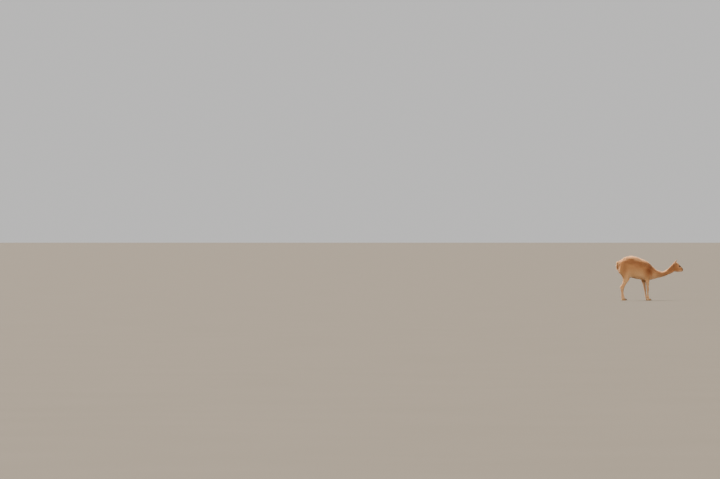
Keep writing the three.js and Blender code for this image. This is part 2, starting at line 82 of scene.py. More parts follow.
# %% The camera
PICTURE = (720, 479)  # pixels
PIXEL = 0.020  # metres at the animal
MIDDLE_PX = 649.5  # the animal's middle
GROUND_PX = 300.5
HORIZON_PX = 238.0
LENS, SENSOR = 300.0, 36.0
FOCAL_PX = LENS / SENSOR * PICTURE[0]
distance = FOCAL_PX * PIXEL
camera_data = bpy.data.cameras.new("long_lens")
camera_data.lens, camera_data.sensor_width = LENS, SENSOR
camera_data.clip_start, camera_data.clip_end = 1.0, 3000.0
camera = placed("camera", camera_data)
height = (GROUND_PX - HORIZON_PX) * PIXEL
camera.location = ((PICTURE[0] / 2 - MIDDLE_PX) * PIXEL, -distance, height)
pitch = math.atan((PICTURE[1] / 2 - HORIZON_PX) / FOCAL_PX)
camera.rotation_euler = (math.pi / 2 - pitch, 0, 0)
bpy.context.scene.camera = camera
print("camera", round(distance, 1), "m away, eye height", round(height, 2), "m")

# %% [markdown]
# Every surface below is worked out as arrays of points and triangles. These helpers read a mesh into arrays,
# make an object out of arrays and weld points that lie in one place. The steps and bells are the brushes of
# this lesson: they say where a fold, a marking or a stretch of longer wool begins and ends.

# %% Helpers for meshes
def triangles_of(mesh):
    """The points and triangles of a mesh as arrays."""
    mesh.calc_loop_triangles()
    points = np.empty(len(mesh.vertices) * 3)
    mesh.vertices.foreach_get("co", points)
    faces = np.empty(len(mesh.loop_triangles) * 3, int)
    mesh.loop_triangles.foreach_get("vertices", faces)
    return points.reshape(-1, 3), faces.reshape(-1, 3)


def add_values(mesh, values_of):
    """Stores a number for every point of a mesh, under each name."""
    for key, values in values_of.items():
        mesh.attributes.new(key, "FLOAT", "POINT").data.foreach_set("value", values.astype(np.float32))


def new_piece(name, points, faces, values_of=None, uv=None, normals=None):
    """A smooth-shaded object out of arrays, with float attributes on its points."""
    mesh = bpy.data.meshes.new(name)
    mesh.vertices.add(len(points))
    mesh.vertices.foreach_set("co", np.ascontiguousarray(points, np.float32).ravel())
    mesh.loops.add(faces.size)
    mesh.loops.foreach_set("vertex_index", np.ascontiguousarray(faces, np.int32).ravel())
    mesh.polygons.add(len(faces))
    mesh.polygons.foreach_set("loop_start", np.arange(0, faces.size, faces.shape[1], dtype=np.int32))
    mesh.update(calc_edges=True)
    mesh.shade_smooth()
    add_values(mesh, values_of or {})
    if uv is not None:
        layer = mesh.uv_layers.new(name="OFBake")
        layer.uv.foreach_set("vector", uv[faces.ravel()].astype(np.float32).ravel())
    if normals is not None:
        mesh.normals_split_custom_set_from_vertices(normals.astype(np.float32))
    return placed(name, mesh)


def set_points(mesh, points):
    """Moves a mesh's points to new places."""
    mesh.vertices.foreach_set("co", points.ravel())
    mesh.update()


def remesh(piece, voxel):
    """Melts all that an object is made of into one closed surface."""
    piece.data.remesh_voxel_size = voxel
    bpy.context.view_layer.objects.active = piece
    bpy.ops.object.voxel_remesh()


def weld(piece):
    """Joins points that lie in one place, as at the pole of a ball."""
    welded = bmesh.new()
    welded.from_mesh(piece.data)
    bmesh.ops.remove_doubles(welded, verts=welded.verts, dist=1e-5)
    welded.to_mesh(piece.data)
    welded.free()


def unit(vectors):
    """Vectors of length 1."""
    return vectors / np.maximum(np.linalg.norm(vectors, axis=-1, keepdims=True), 1e-12)


def smoothstep(low, high, value):
    """0 up to low and 1 from high on, with a soft rise between them."""
    t = np.clip((value - low) / (high - low), 0, 1)
    return t * t * (3 - 2 * t)


def bell(value, middle, width, power=2):
    """1 at the middle and almost 0 from twice the width away."""
    return np.exp(-(((value - middle) / width) ** power))


def spot(x, z, middle, size):
    """A bell in the side view, about a middle (x, z) and as long and high as size says."""
    return bell(x, middle[0], size[0]) * bell(z, middle[1], size[1])


def between(value, rise, fall):
    """1 between two soft borders, each given by where it starts and ends."""
    return smoothstep(*rise, value) * (1 - smoothstep(*fall, value))


# %% [markdown]
# The skin starts as copies of the flesh nodes joined into one mesh. A voxel remesh then melts them into a
# single closed surface, so the cuts between the solids are gone. A ball is added in each eye socket first,
# since the lids are formed over it later. The voxels are a few millimetres, small enough for a fetlock.

# %% Melt the flesh into one surface
VOXEL = 4.4 * MM
flesh = sorted(n for n in nodes if not n.startswith(("eye", "ear")) and "nail" not in n)
eye_boxes = {hand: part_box("eye_" + hand) for hand in ("right", "left")}
eye_centres = {hand: np.array((low + high) / 2) for hand, (low, high) in eye_boxes.items()}
EYE_RADIUS = max(eye_boxes["right"][1] - eye_boxes["right"][0]) / 2

melt = bmesh.new()
for name in flesh:
    melt.from_mesh(nodes[name].data)
for centre in eye_centres.values():
    ball = bmesh.ops.create_uvsphere(melt, u_segments=24, v_segments=16, radius=EYE_RADIUS + 1.0 * MM)
    bmesh.ops.translate(melt, verts=ball["verts"], vec=Vector(centre))
skin_mesh = bpy.data.meshes.new("skin")
melt.to_mesh(skin_mesh)
melt.free()
skin = placed("skin", skin_mesh)
remesh(skin, VOXEL)
print("skin after the remesh:", len(skin.data.vertices), "points")

# %% [markdown]
# The solids carry coarse clumps for the fleece and flat facets. The skin under a fleece is smooth, so each
# region is relaxed by its own amount: every point moves towards the mean of its neighbours, many times on
# the trunk and only a few on the legs and face. A region's name comes from the nearest solid.

# %% Which solid each point of the skin belongs to
def nearest_nodes(points, names):
    """For each point, the index in names of the nearest solid."""
    corners, faces, owner = [], [], []
    for index, name in enumerate(names):
        p, f = triangles_of(nodes[name].data)
        faces.append(f + sum(len(c) for c in corners))
        corners.append(p)
        owner.append(np.full(len(f), index))
    tree = BVHTree.FromPolygons(np.concatenate(corners).tolist(), np.concatenate(faces).tolist())
    owner = np.concatenate(owner)
    return owner[[tree.find_nearest(Vector(p))[2] for p in points]]


def edges_of(mesh):
    """The edges of a mesh as an array of pairs."""
    edges = np.empty(len(mesh.edges) * 2, int)
    mesh.edges.foreach_get("vertices", edges)
    return edges.reshape(-1, 2)


def spread(values, edges, times, share=0.5):
    """Each value moved towards the mean of its neighbours, a number of times that may differ by point."""
    count = len(values)
    both = np.concatenate([edges, edges[:, ::-1]])
    ways = np.maximum(np.bincount(both[:, 0], minlength=count), 1)
    values = values.reshape(count, -1).copy()
    times = np.broadcast_to(np.asarray(times, float), count)
    order = np.argsort(both[:, 0], kind="stable")
    both = both[order]
    starts = np.searchsorted(both[:, 0], np.arange(count))
    lonely = np.bincount(both[:, 0], minlength=count) == 0
    for step in range(int(np.ceil(times.max()))):
        mean = np.add.reduceat(values[both[:, 1]], np.minimum(starts, len(both) - 1), axis=0) / ways[:, None]
        mean[lonely] = values[lonely]
        weight = share * np.clip(times - step, 0, 1)[:, None]
        values += weight * (mean - values)
    return values.squeeze()


points, _ = triangles_of(skin.data)
edges = edges_of(skin.data)
labels = nearest_nodes(points, flesh)
RELAX = {
    "torso": 190, "neck_lower": 100, "neck_upper": 56, "head": 4, "tail": 18,
    "upper": 20, "shank": 7, "foot": 3,
}
POLL, POLL_RELAX = (500, 548), 34  # the clumps on the poll need more than the rest of the head


def by_region(table):
    """A value for each skin point out of a table of endings of node names."""
    of_node = [next(v for key, v in table.items() if name.endswith(key)) for name in flesh]
    return np.array(of_node, float)[labels]


at_poll = (1 - smoothstep(*POLL, drawn(points)[0])) * by_region({"head": 1, "": 0})
times = spread(np.maximum(by_region(RELAX), POLL_RELAX * at_poll), edges, 16)
points = spread(points, edges, times)
print("relaxed, by up to", int(times.max()), "steps")

# %% [markdown]
# The coat has a depth, so the skin lies inside the solids by that much: about a centimetre on the body, a
# millimetre or two on the face. The wool is longer than it is deep, since it leans. One table says, for every
# region, how long the hair is, how wide a tuft is, how steeply it stands, how deep the skin lies and which
# way the hair lies. The values are then blended over the skin, since a real coat has no borders.

# %% One table for the whole coat
# length, width, rise at the root in degrees, depth of the skin, all in mm but the rise, then the lie
COAT = {
    "torso": (25, 2.6, 58, 11.0, (-0.80, 0, -0.6)),
    "neck_lower": (22, 2.5, 56, 9.5, (-0.78, 0, -0.62)),
    "neck_upper": (17, 2.4, 52, 7.0, (-0.82, 0, -0.57)),
    "crown": (13, 1.9, 46, 4.4, (-0.86, 0, 0.4)),
    "cheek": (7, 1.4, 32, 2.0, (-0.93, 0, 0.2)),
    "muzzle": (3.6, 0.9, 30, 0.9, (-0.86, 0, 0.35)),
    "tail": (31, 2.8, 24, 9.0, (0.04, 0, -1.0)),
    "thigh": (21, 2.6, 50, 8.0, (-0.5, 0, -0.86)),
    "gaskin": (10, 2.2, 32, 3.2, (-0.3, 0, -0.95)),
    "shank": (8, 1.8, 27, 1.9, (-0.12, 0, -0.99)),
    "foot": (5, 1.7, 20, 1.2, (0.35, 0, -0.94)),
}
REGIONS = list(COAT)
TOP_OF_GASKIN = 440  # the drawing's mm
CHEEK_FROM, MUZZLE_FROM = 556, 634


def regions_of(points, labels):
    """The row of the table for each point, by the solid nearest to it and its height or place on the head."""
    x, _, z = drawn(points)
    on_head = np.where(x > MUZZLE_FROM, "muzzle", np.where(x > CHEEK_FROM, "cheek", "crown"))
    on_leg = np.where(z > TOP_OF_GASKIN, "thigh", "gaskin")
    region = np.zeros(len(points), int)
    for index, name in enumerate(flesh):
        own = labels == index
        if name == "head":
            region[own] = [REGIONS.index(kind) for kind in on_head[own]]
        elif name.endswith("upper") and "leg" in name:
            region[own] = [REGIONS.index(kind) for kind in on_leg[own]]
        else:
            region[own] = next(row for row, kind in enumerate(REGIONS) if name.endswith(kind))
    return region


def coat_values(column):
    """One column of the table for each point of the skin, blended over its borders."""
    values = np.array([COAT[k][column] for k in REGIONS], float)
    return spread(values[regions_of(points, labels)], edges, 40)


def normals_of(points, faces):
    """A normal for each point, from the faces round it."""
    a, b, c = (points[faces[:, i]] for i in range(3))
    across = np.cross(b - a, c - a)
    total = np.stack([
        sum(np.bincount(faces[:, i], across[:, axis], len(points)) for i in range(3)) for axis in range(3)
    ], axis=1)
    return unit(total)


_, faces = triangles_of(skin.data)
depth = coat_values(3) * MM
points = points - normals_of(points, faces) * depth[:, None]
points = spread(points, edges, 3)
set_points(skin.data, points)
print("skin lies inside the solids by", np.round([depth.min() * 1000, depth.max() * 1000], 1), "mm")

# %% [markdown]
# The face needs more points than the trunk. The head's faces are split into four, and those round the eyes,
# the nose and the mouth once more. New points start on the old flat faces, so they are relaxed a little.

# %% A finer face
HEAD_FROM, HEAD_ABOVE = 500, 530  # the drawing's mm
NOSE_FROM, NOSE_ABOVE = 612, 550
ROUND_EYE = 36 * MM


def refine(wanted, relax):
    """Splits the skin's faces where wanted(points) holds, then relaxes what is new."""
    split = bmesh.new()
    split.from_mesh(skin.data)
    split.verts.ensure_lookup_table()
    before = len(split.verts)
    inside = wanted(np.array([v.co[:] for v in split.verts]))
    cut = {e for f in split.faces if all(inside[v.index] for v in f.verts) for e in f.edges}
    bmesh.ops.subdivide_edges(split, edges=list(cut), cuts=1, use_grid_fill=True)
    split.to_mesh(skin.data)
    split.free()
    points, _ = triangles_of(skin.data)
    set_points(skin.data, spread(points, edges_of(skin.data), np.where(wanted(points), relax, 0)))
    print("split", len(cut), "edges;", before, "points became", len(points))


def on_head(points):
    """Which points are on the head."""
    x, _, z = drawn(points)
    return (x > HEAD_FROM) & (z > HEAD_ABOVE)


def on_face(points):
    """Which points are round the eyes or on the muzzle."""
    x, _, z = drawn(points)
    to_eye = np.min([np.linalg.norm(points - c, axis=1) for c in eye_centres.values()], axis=0)
    return (to_eye < ROUND_EYE) | ((x > NOSE_FROM) & (z > NOSE_ABOVE))


refine(on_head, 3)
refine(on_face, 2)

# %% [markdown]
# The lids are the skin itself, stretched over the ball of the eye and open between two arcs. Points near the
# opening move onto the lids' surface, just outside the ball, and points inside the opening move back behind
# it. A shallow fold runs over the upper lid.

# %% Lids
LID, BEHIND = 2.2 * MM, 7 * MM  # how far lids lie outside the ball, and the skin in the opening inside it
EYE_LOOKS, EYE_TILT = (0.28, 1.0, 0.1), -0.35
OPEN_HALF, OPEN_UP, OPEN_DOWN = 15.0 * MM, 12.0 * MM, 9.5 * MM
FOLD_AT, FOLD_WIDTH, FOLD_DEPTH = 5.5 * MM, 1.3 * MM, 0.9 * MM
EDGE_WIDTH, EDGE_HEIGHT = 1.6 * MM, 0.5 * MM
SOCKET_REACH = 40 * MM


def eye_axes(hand):
    """Forward along the lids, up and outwards, for the eye on one side."""
    out = unit(np.array([EYE_LOOKS[0], EYE_LOOKS[1] * hand, EYE_LOOKS[2]]))
    forward = np.array([math.cos(EYE_TILT), 0, math.sin(EYE_TILT)])
    up = unit(np.cross(out, forward) * -hand)
    forward = unit(np.cross(up, out)) * -hand
    return np.stack([forward, up, out])


def past_lids(along, up):
    """How far a point lies outside the arcs of the lids; below zero it is in the opening."""
    arc = 1 - (along / OPEN_HALF) ** 2
    return np.maximum(up - OPEN_UP * arc, -up - OPEN_DOWN * arc)


points, faces = triangles_of(skin.data)
lid_dark = np.zeros(len(points))
for name, hand in HANDS.items():
    axes = eye_axes(hand)
    local = (points - eye_centres[name]) @ axes.T
    reach = np.linalg.norm(local, axis=1)
    front = (local[:, 2] > -4 * MM) & (reach < SOCKET_REACH)
    on_ball = local / np.maximum(reach, 1e-9)[:, None] * EYE_RADIUS
    outside = past_lids(on_ball[:, 0], on_ball[:, 1])
    near = np.where(front, 1 - smoothstep(3 * MM, 11 * MM, outside), 0)
    fold = FOLD_DEPTH * bell(outside, FOLD_AT, FOLD_WIDTH) * (on_ball[:, 1] > 0)
    wanted = EYE_RADIUS + LID - fold + EDGE_HEIGHT * bell(outside, 0, EDGE_WIDTH)
    wanted = np.where(outside < 0, EYE_RADIUS - BEHIND, wanted)
    moved = reach + (wanted - reach) * near
    along_ray = local / reach[:, None] * moved[:, None]
    points = np.where(front[:, None], eye_centres[name] + along_ray @ axes, points)
    lid_dark = np.maximum(lid_dark, np.where(front, 1 - smoothstep(1.0 * MM, 3.4 * MM, outside), 0))
print("points on the lids:", int((lid_dark > 0).sum()))

# %% [markdown]
# A vicuna's muzzle is small and soft. The mouth is a long line that drops to its corner, with a full upper
# lip that is split in the middle, and the nostrils are slanting slits. All three are pressed into the skin
# by moving its points along their normals.

# %% Mouth, nostrils and the split of the lip
MOUTH = np.array([(700, 598), (668, 599), (650, 601), (635, 606), (623, 613)], float)
MOUTH_CORNER = (619, 634)  # the line fades out between these two
MOUTH_DEPTH, MOUTH_WIDTH = 2.4, 0.9
LIP_HEIGHT, LIP_AT, LIP_WIDTH = 1.0, 4.2, 2.6
NOSTRIL_AT, NOSTRIL_TILT = (665.5, 631, 12.0), 0.9
NOSTRIL_DEPTH, NOSTRIL_HALF, NOSTRIL_WIDTH = 6.0, 6.0, 1.7
WING_HEIGHT, WING_HALF, WING_AT, WING_WIDTH = 1.1, 8.5, 4.0, 2.0
CLEFT_DEPTH, CLEFT_WIDTH, CLEFT_FROM = 1.8, 1.3, (655, 668)
CLEFT_FOOT, CLEFT_TOP = (596, 602), (622, 630)


def mouth_distance(points):
    """How far above (+) or below (-) the line of the mouth a point lies in the side view, in mm."""
    x, _, z = drawn(points)
    best, sign = np.full(len(points), 1e9), np.ones(len(points))
    for (x0, z0), (x1, z1) in zip(MOUTH[:-1], MOUTH[1:]):
        t = np.clip(((x - x0) * (x1 - x0) + (z - z0) * (z1 - z0)) / ((x1 - x0) ** 2 + (z1 - z0) ** 2), 0, 1)
        line_x, line_z = x0 + t * (x1 - x0), z0 + t * (z1 - z0)
        d = np.hypot(x - line_x, z - line_z)
        closer = d < best
        best = np.where(closer, d, best)
        sign = np.where(closer, np.where(z > line_z, 1, -1), sign)
    return best * sign


def nostril_place(points, hand):
    """Along one nostril's slit, across it and out of the muzzle, in mm."""
    local = (points - at(NOSTRIL_AT[0], NOSTRIL_AT[1], NOSTRIL_AT[2] * hand)) * 1000
    down = np.array([math.cos(NOSTRIL_TILT), -0.25 * hand, -math.sin(NOSTRIL_TILT)])
    out = unit(np.array([0.45, hand * 0.85, 0.2]))
    down = unit(down - out * (down @ out))
    across = np.cross(out, down)
    along = local @ down
    return along, local @ across - 0.03 * along**2, local @ out


normals = normals_of(points, faces)
x, y, z = drawn(points)
gap = mouth_distance(points)
corner = smoothstep(*MOUTH_CORNER, x)
lips = LIP_HEIGHT * bell(np.abs(gap), LIP_AT, LIP_WIDTH)
push = corner * (lips - MOUTH_DEPTH * bell(gap, 0, MOUTH_WIDTH))
mouth_dark = corner * bell(gap, 0, 1.1)
nose_dark = np.zeros(len(points))
for hand in HANDS.values():
    along, across, out = nostril_place(points, hand)
    near = (np.abs(out) < 14) & (y * hand > 0)
    slit = near * bell(along, 0, NOSTRIL_HALF, 4) * bell(across, 0, NOSTRIL_WIDTH)
    wing = near * bell(along, 0, WING_HALF, 4) * bell(np.abs(across), WING_AT, WING_WIDTH)
    push = push - NOSTRIL_DEPTH * slit + WING_HEIGHT * wing
    nose_dark = np.maximum(nose_dark, slit)
cleft = bell(y, 0, CLEFT_WIDTH) * smoothstep(*CLEFT_FROM, x) * between(z, CLEFT_FOOT, CLEFT_TOP)
push = push - CLEFT_DEPTH * cleft
points = points + normals * (push * MM)[:, None]
set_points(skin.data, points)
print("mouth and nostrils pressed in by up to", round(-push.min(), 1), "mm")

# %% [markdown]
# Shader maths reads better as sums than as boxes and wires. This small class wraps one socket. Adding or
# multiplying it puts a Math node in the material, and a Sheet is one material being made: it places any
# other node, mixes colours and feeds the surface.

# %% Materials as sums
def paired(operation):
    """An operator and its reflected form, as in mask * 2 and 1 - mask."""

    def straight(self, other):
        return self.sheet.maths(operation, self, other)

    def reflected(self, other):
        return self.sheet.maths(operation, other, self)

    return straight, reflected


class Wire:
    """One value in a material, which can be used in sums."""

    def __init__(self, sheet, socket):
        self.sheet, self.socket = sheet, socket

    __add__, __radd__ = paired("ADD")
    __sub__, __rsub__ = paired("SUBTRACT")
    __mul__, __rmul__ = paired("MULTIPLY")
    __truediv__, __rtruediv__ = paired("DIVIDE")
    __pow__, __rpow__ = paired("POWER")


class Sheet:
    """One material being made."""

    def __init__(self, name, roughness, specular, **constants):
        self.material = bpy.data.materials.new(name)
        self.material.use_nodes = True
        self.tree = self.material.node_tree
        self.surface = self.tree.nodes["Principled BSDF"]
        self.surface.inputs["Roughness"].default_value = roughness
        self.surface.inputs["Specular IOR Level"].default_value = specular
        for key, value in constants.items():
            self.surface.inputs[key.replace("_", " ")].default_value = value

    def feed(self, socket, value):
        """Links a wire to a socket, or sets the socket to a number or colour."""
        if isinstance(value, Wire):
            self.tree.links.new(value.socket, socket)
        elif isinstance(value, tuple) and len(value) == 3 and socket.type == "RGBA":
            socket.default_value = (*value, 1)
        else:
            socket.default_value = value

    def node(self, kind, settings=None, output=0, **values):
        """Any other node, by its type, its settings and the values or wires of its sockets."""
        made = self.tree.nodes.new("ShaderNode" + kind)
        for key, value in (settings or {}).items():
            setattr(made, key, value)
        for key, value in values.items():
            self.feed(made.inputs[key.replace("_", " ")], value)
        return Wire(self, made.outputs[output])

    def maths(self, operation, first, second):
        """A sum, or another piece of maths, on two values."""
        made = self.node("Math", {"operation": operation}).socket.node
        for socket, value in zip(made.inputs, (first, second)):
            self.feed(socket, value)
        return Wire(self, made.outputs[0])

    def parts(self, vector):
        """The x, y and z of a vector."""
        made = self.node("SeparateXYZ", Vector=vector).socket.node
        return [Wire(self, socket) for socket in made.outputs]

    def mixed(self, first, second, share):
        """Two colours mixed: the first where share is 0, the second where it is 1."""
        made = self.node("Mix", {"data_type": "RGBA"}).socket.node
        for index, value in ((0, share), (6, first), (7, second)):
            self.feed(made.inputs[index], value)
        return Wire(self, made.outputs[2])

    def step(self, value, low, high):
        """0 up to low and 1 from high on, with a soft rise."""
        soft = {"interpolation_type": "SMOOTHSTEP"}
        return self.node("MapRange", soft, Value=value, From_Min=low, From_Max=high)

    def noise(self, scale, detail=3.0, place=None):
        """Soft random patches; the larger the scale, the smaller they are."""
        place = place or self.place()
        return self.node("TexNoise", Vector=place, Scale=scale, Detail=detail, Roughness=0.55)

    def place(self, stretch=(1.0, 1.0, 1.0)):
        """Where a point lies on the piece, in metres, times a stretch along each axis."""
        coords = self.node("TexCoord", output=3)
        return self.node("Mapping", Vector=coords, Scale=stretch)

    def attribute(self, name):
        """A number that the mesh carries on its points."""
        return self.node("Attribute", {"attribute_name": name}, output=2)

    def colour(self, value):
        """What the surface's colour is."""
        self.feed(self.surface.inputs["Base Color"], value)

    def roughness(self, value):
        """How rough the surface is, where that varies."""
        self.feed(self.surface.inputs["Roughness"], value)

    def bump(self, height, distance, strength=1.0):
        """Fine relief, as deep as distance in metres."""
        made = self.node("Bump", Height=height, Distance=distance, Strength=strength)
        self.feed(self.surface.inputs["Normal"], made)

    def let_through(self, share, colour):
        """A share of the light passes through, as it does through thin hair."""
        veil = self.node("BsdfTranslucent", Color=colour)
        mixer = self.node("MixShader").socket.node
        mixer.inputs[0].default_value = share
        self.tree.links.new(self.surface.outputs[0], mixer.inputs[1])
        self.tree.links.new(veil.socket, mixer.inputs[2])
        self.tree.links.new(mixer.outputs[0], self.tree.nodes["Material Output"].inputs[0])


def rgb(red, green, blue):
    """A colour given on a screen, as the light it stands for."""
    shares = (value / 255 for value in (red, green, blue))
    return tuple(s / 12.92 if s < 0.0392 else ((s + 0.055) / 1.055) ** 2.4 for s in shares)


# %% [markdown]
# A vicuna is cinnamon above and cream below. The border runs along the lower flank, down the fronts of the
# thighs and round the chest, and the insides of the legs, the throat and the lips are pale. The muzzle is
# dark round the nostrils. Each marking is a number between 0 and 1 at every point of the skin, worked out
# here from the point's place and the way it faces. The tufts take the numbers of the skin they grow from, so
# coat and skin always agree.

# %% The markings
MARKS = ("pale", "rust", "dusk", "face", "glow", "bleached")
# all in the drawing's mm, a spot as its middle and its size
SHOULDER, HAUNCH = ((-6, 600), (88, 122)), ((-500, 650), (52, 130))
# painted shadows: the ear's shadow on the neck, and the shadow in the gap between the tail and the rump
EAR_SHADOW, TAIL_SHADOW = ((482, 698), (36, 36)), ((-620, 700), (22, 62))
EYE_X, EYE_Z = 598, 680
BELLY_X = (-420, -300, -150, 0, 60, 150, 300, 420)
BELLY_Z = (468, 462, 462, 470, 480, 474, 510, 552)  # the height of the pale border at each of them


def pale_share(x, y, z, normals, leg):
    """The cream of the underside, the insides of the legs, the throat, the jaw and below the eye."""
    ragged = 9 * np.sin(x / 37 + 1.3) + 6 * np.sin(x / 15 + y / 23) + 4 * np.sin(z / 11 + x / 19)
    outwards, down = np.sign(y) * normals[:, 1], -normals[:, 2]
    outer = smoothstep(0.25, 0.7, outwards)
    at_legs = np.maximum(1 - smoothstep(-440, -370, x), bell(x, -25, 75, 4))
    belly = (1 - smoothstep(-40, 70, z - np.interp(x, BELLY_X, BELLY_Z) + ragged)) * (1 - outer * at_legs)
    ring = bell(np.hypot(x - EYE_X, z - EYE_Z), 25, 8) * smoothstep(555, 570, x)
    ring = ring * smoothstep(0.35, 0.8, np.abs(normals[:, 1])) * (1 - smoothstep(-3, 16.5, z - EYE_Z))
    return np.maximum.reduce([
        belly * (0.8 - 0.45 * smoothstep(60, 160, x)) * (1 - leg),
        smoothstep(0.05, 0.75, -outwards) * leg * 0.85,  # the insides of the legs
        smoothstep(0.1, 0.8, -normals[:, 0]) * leg * 0.4,  # their backs
        (1 - smoothstep(150, 330, z)) * 0.2,  # their lower ends
        between(x, (330, 430), (560, 600)) * smoothstep(0.35, 0.85, down) * 0.35,  # the throat
        smoothstep(0.55, 0.95, down) * 0.9,  # whatever faces the ground
        smoothstep(560, 600, x) * (1 - smoothstep(592, 612, z + 0.12 * (x - 640))) * 0.7,  # the jaw
        ring * 0.5,
    ])


# %% [markdown]
# The deepest colour is a rust on the shoulder and the sides of the neck, weaker on the haunch and the nape.
# The same rust paints shade: the shadows behind the ears and beside the tail, and a band of painted shade
# along both edges of the back, below the lit crest. It gives way wherever the coat is pale.

# %% Rust and painted shade
def rust_and_shade_share(x, z, normals, leg):
    """The deep rust of the shoulder, the haunch and the neck, and painted shade behind the ears, beside the
    tail and along the edges of the back.
    """
    up = normals[:, 2]
    # painted shade: a band just below the lit crest, chosen by the way the skin faces
    ridge = between(up, (0.0, 0.35), (0.5, 0.8)) * between(x, (-600, -480), (60, 180))
    return np.maximum.reduce([
        spot(x, z, *SHOULDER),
        spot(x, z, *HAUNCH) * 0.5,
        # painted shadow of the ear on the neck
        spot(x, z, *EAR_SHADOW),
        # painted shadow in the gap between the tail and the rump
        spot(x, z, *TAIL_SHADOW) * smoothstep(0.2, 0.6, np.abs(normals[:, 1])) * 0.9,
        # the band of painted shade along both edges of the back
        ridge * smoothstep(620, 720, z) * (1 - leg) * 0.6,
        smoothstep(0.1, 0.9, up) * between(x, (-640, -420), (250, 420)) * 0.25,  # the saddle
        smoothstep(-0.35, 0.5, up) * between(x, (250, 430), (520, 580)) * 0.5,  # the nape
        smoothstep(60, 220, x) * (0.62 - 0.22 * smoothstep(430, 520, x)),  # the sides of the neck
    ])


# %% [markdown]
# Dark hair covers the muzzle and the nose, and a little of it is mixed into the brow, the knees and the toes.
# The same dark paints the shadows behind the ears and beside the tail.
# Painted rim light pales the tips of the wool, most along the crest of the back and neck, and some on the
# rump, as a lamp behind the animal would.

# %% Dark hair, painted shadows and painted rim light
def dark_hair_and_shade_share(x, z, normals, leg):
    """The dark of the muzzle, the nose, the brow, the knees and the toes, and painted shadows behind the ears
    and beside the tail.
    """
    ahead, up = normals[:, 0], normals[:, 2]
    return np.maximum.reduce([
        smoothstep(640, 668, x + 0.25 * (z - 610)) * smoothstep(588, 606, z),  # the muzzle
        smoothstep(0.3, 0.85, 0.75 * ahead + 0.65 * up) * smoothstep(608, 640, x) * 0.7,  # the nose
        smoothstep(560, 640, x) * smoothstep(0.25, 0.9, up) * 0.35,  # the brow
        bell(z, 255, 42) * leg * smoothstep(0.2, 0.8, ahead) * 0.3,  # the knees
        (1 - smoothstep(20, 62, z)) * 0.3,  # the toes
        # painted shadow of the ear on the neck
        spot(x, z, *EAR_SHADOW) * 0.38,
        # painted shadow in the gap between the tail and the rump
        spot(x, z, *TAIL_SHADOW) * smoothstep(0.2, 0.6, np.abs(normals[:, 1])) * 0.4,
    ])


def painted_rim_light_share(x, z, normals):
    """Painted rim light: tips paled as if lit from behind, along the crest of the back and neck, and on the
    rump.
    """
    on_neck = 0.1 * smoothstep(120, 260, x)
    crest = smoothstep(0.48 - on_neck, 0.86 - on_neck, normals[:, 2]) * smoothstep(500, 560, z)
    rump = smoothstep(0.55, 0.95, -normals[:, 0]) * (1 - smoothstep(-560, -480, x)) * smoothstep(560, 680, z)
    # painted rim light along the crest and on the rump
    rim_lit = np.maximum(crest * (1 - smoothstep(575, 640, x)), rump * 0.6)
    return rim_lit * (1 - 0.4 * smoothstep(480, 520, x))


# %% [markdown]
# Now every point of the finished skin gets its markings, by its place, by the way it faces and by whether it
# is on a leg. The lids, the lips and the nostrils keep numbers of their own, for the bare skin there.

# %% Markings on the skin
def markings(points, normals, leg):
    """Every marking, from 0 to 1, for points on the animal; leg is 1 on the legs."""
    x, y, z = drawn(points)
    pale = pale_share(x, y, z, normals, leg)
    rust = rust_and_shade_share(x, z, normals, leg) * (1 - pale)
    low_flank = (1 - smoothstep(480, 680, z)) * (1 - smoothstep(180, 420, x))
    return {
        "pale": pale,
        "rust": rust,
        "dusk": dark_hair_and_shade_share(x, z, normals, leg),
        "face": smoothstep(500, 560, x) * smoothstep(540, 560, z),
        # a light orange on the lower flank: partly the coat's own tone, partly painted bounce light from the
        # floor
        "glow": low_flank * (1 - rust) * (1 - pale),  # a light orange
        # painted rim light on the tips of the wool
        "bleached": painted_rim_light_share(x, z, normals),
    }


points, faces = triangles_of(skin.data)
edges = edges_of(skin.data)
labels = nearest_nodes(points, flesh)
normals = normals_of(points, faces)
is_leg = np.array([name.endswith(("upper", "shank", "foot")) for name in flesh], float)
leg = spread(is_leg[labels], edges, 26) * (1 - smoothstep(0.47, 0.60, points[:, 2]))
marks = markings(points, normals, leg)
add_values(skin.data, {**marks, "lid": lid_dark, "mouth": np.maximum(mouth_dark, nose_dark)})
print("markings on", len(points), "points; pale share", round(float(marks["pale"].mean()), 2))

# %% [markdown]
# The same colours serve the skin, with its short flat hair, and the tufts. The coat's colour varies in big
# soft patches and from hair to hair, and thin darker streaks run through it. The skin adds strands of its own
# and is darkened all over as painted shade, since it shows only in the gaps under the tufts, and it is bare
# and nearly black on the lids, the lips and the nostrils.

# %% Colours of the coat
CINNAMON = rgb(211, 162, 105)
# the rust below also serves as painted shade
RUST_AND_SHADE = rgb(134, 62, 29)
CREAM = rgb(236, 210, 172)
# the dark below also serves as painted shadow
DARK_HAIR_AND_SHADE = rgb(84, 66, 54)
UMBER = rgb(134, 90, 56)
TAN = rgb(220, 176, 121)
APRICOT = rgb(247, 212, 156)


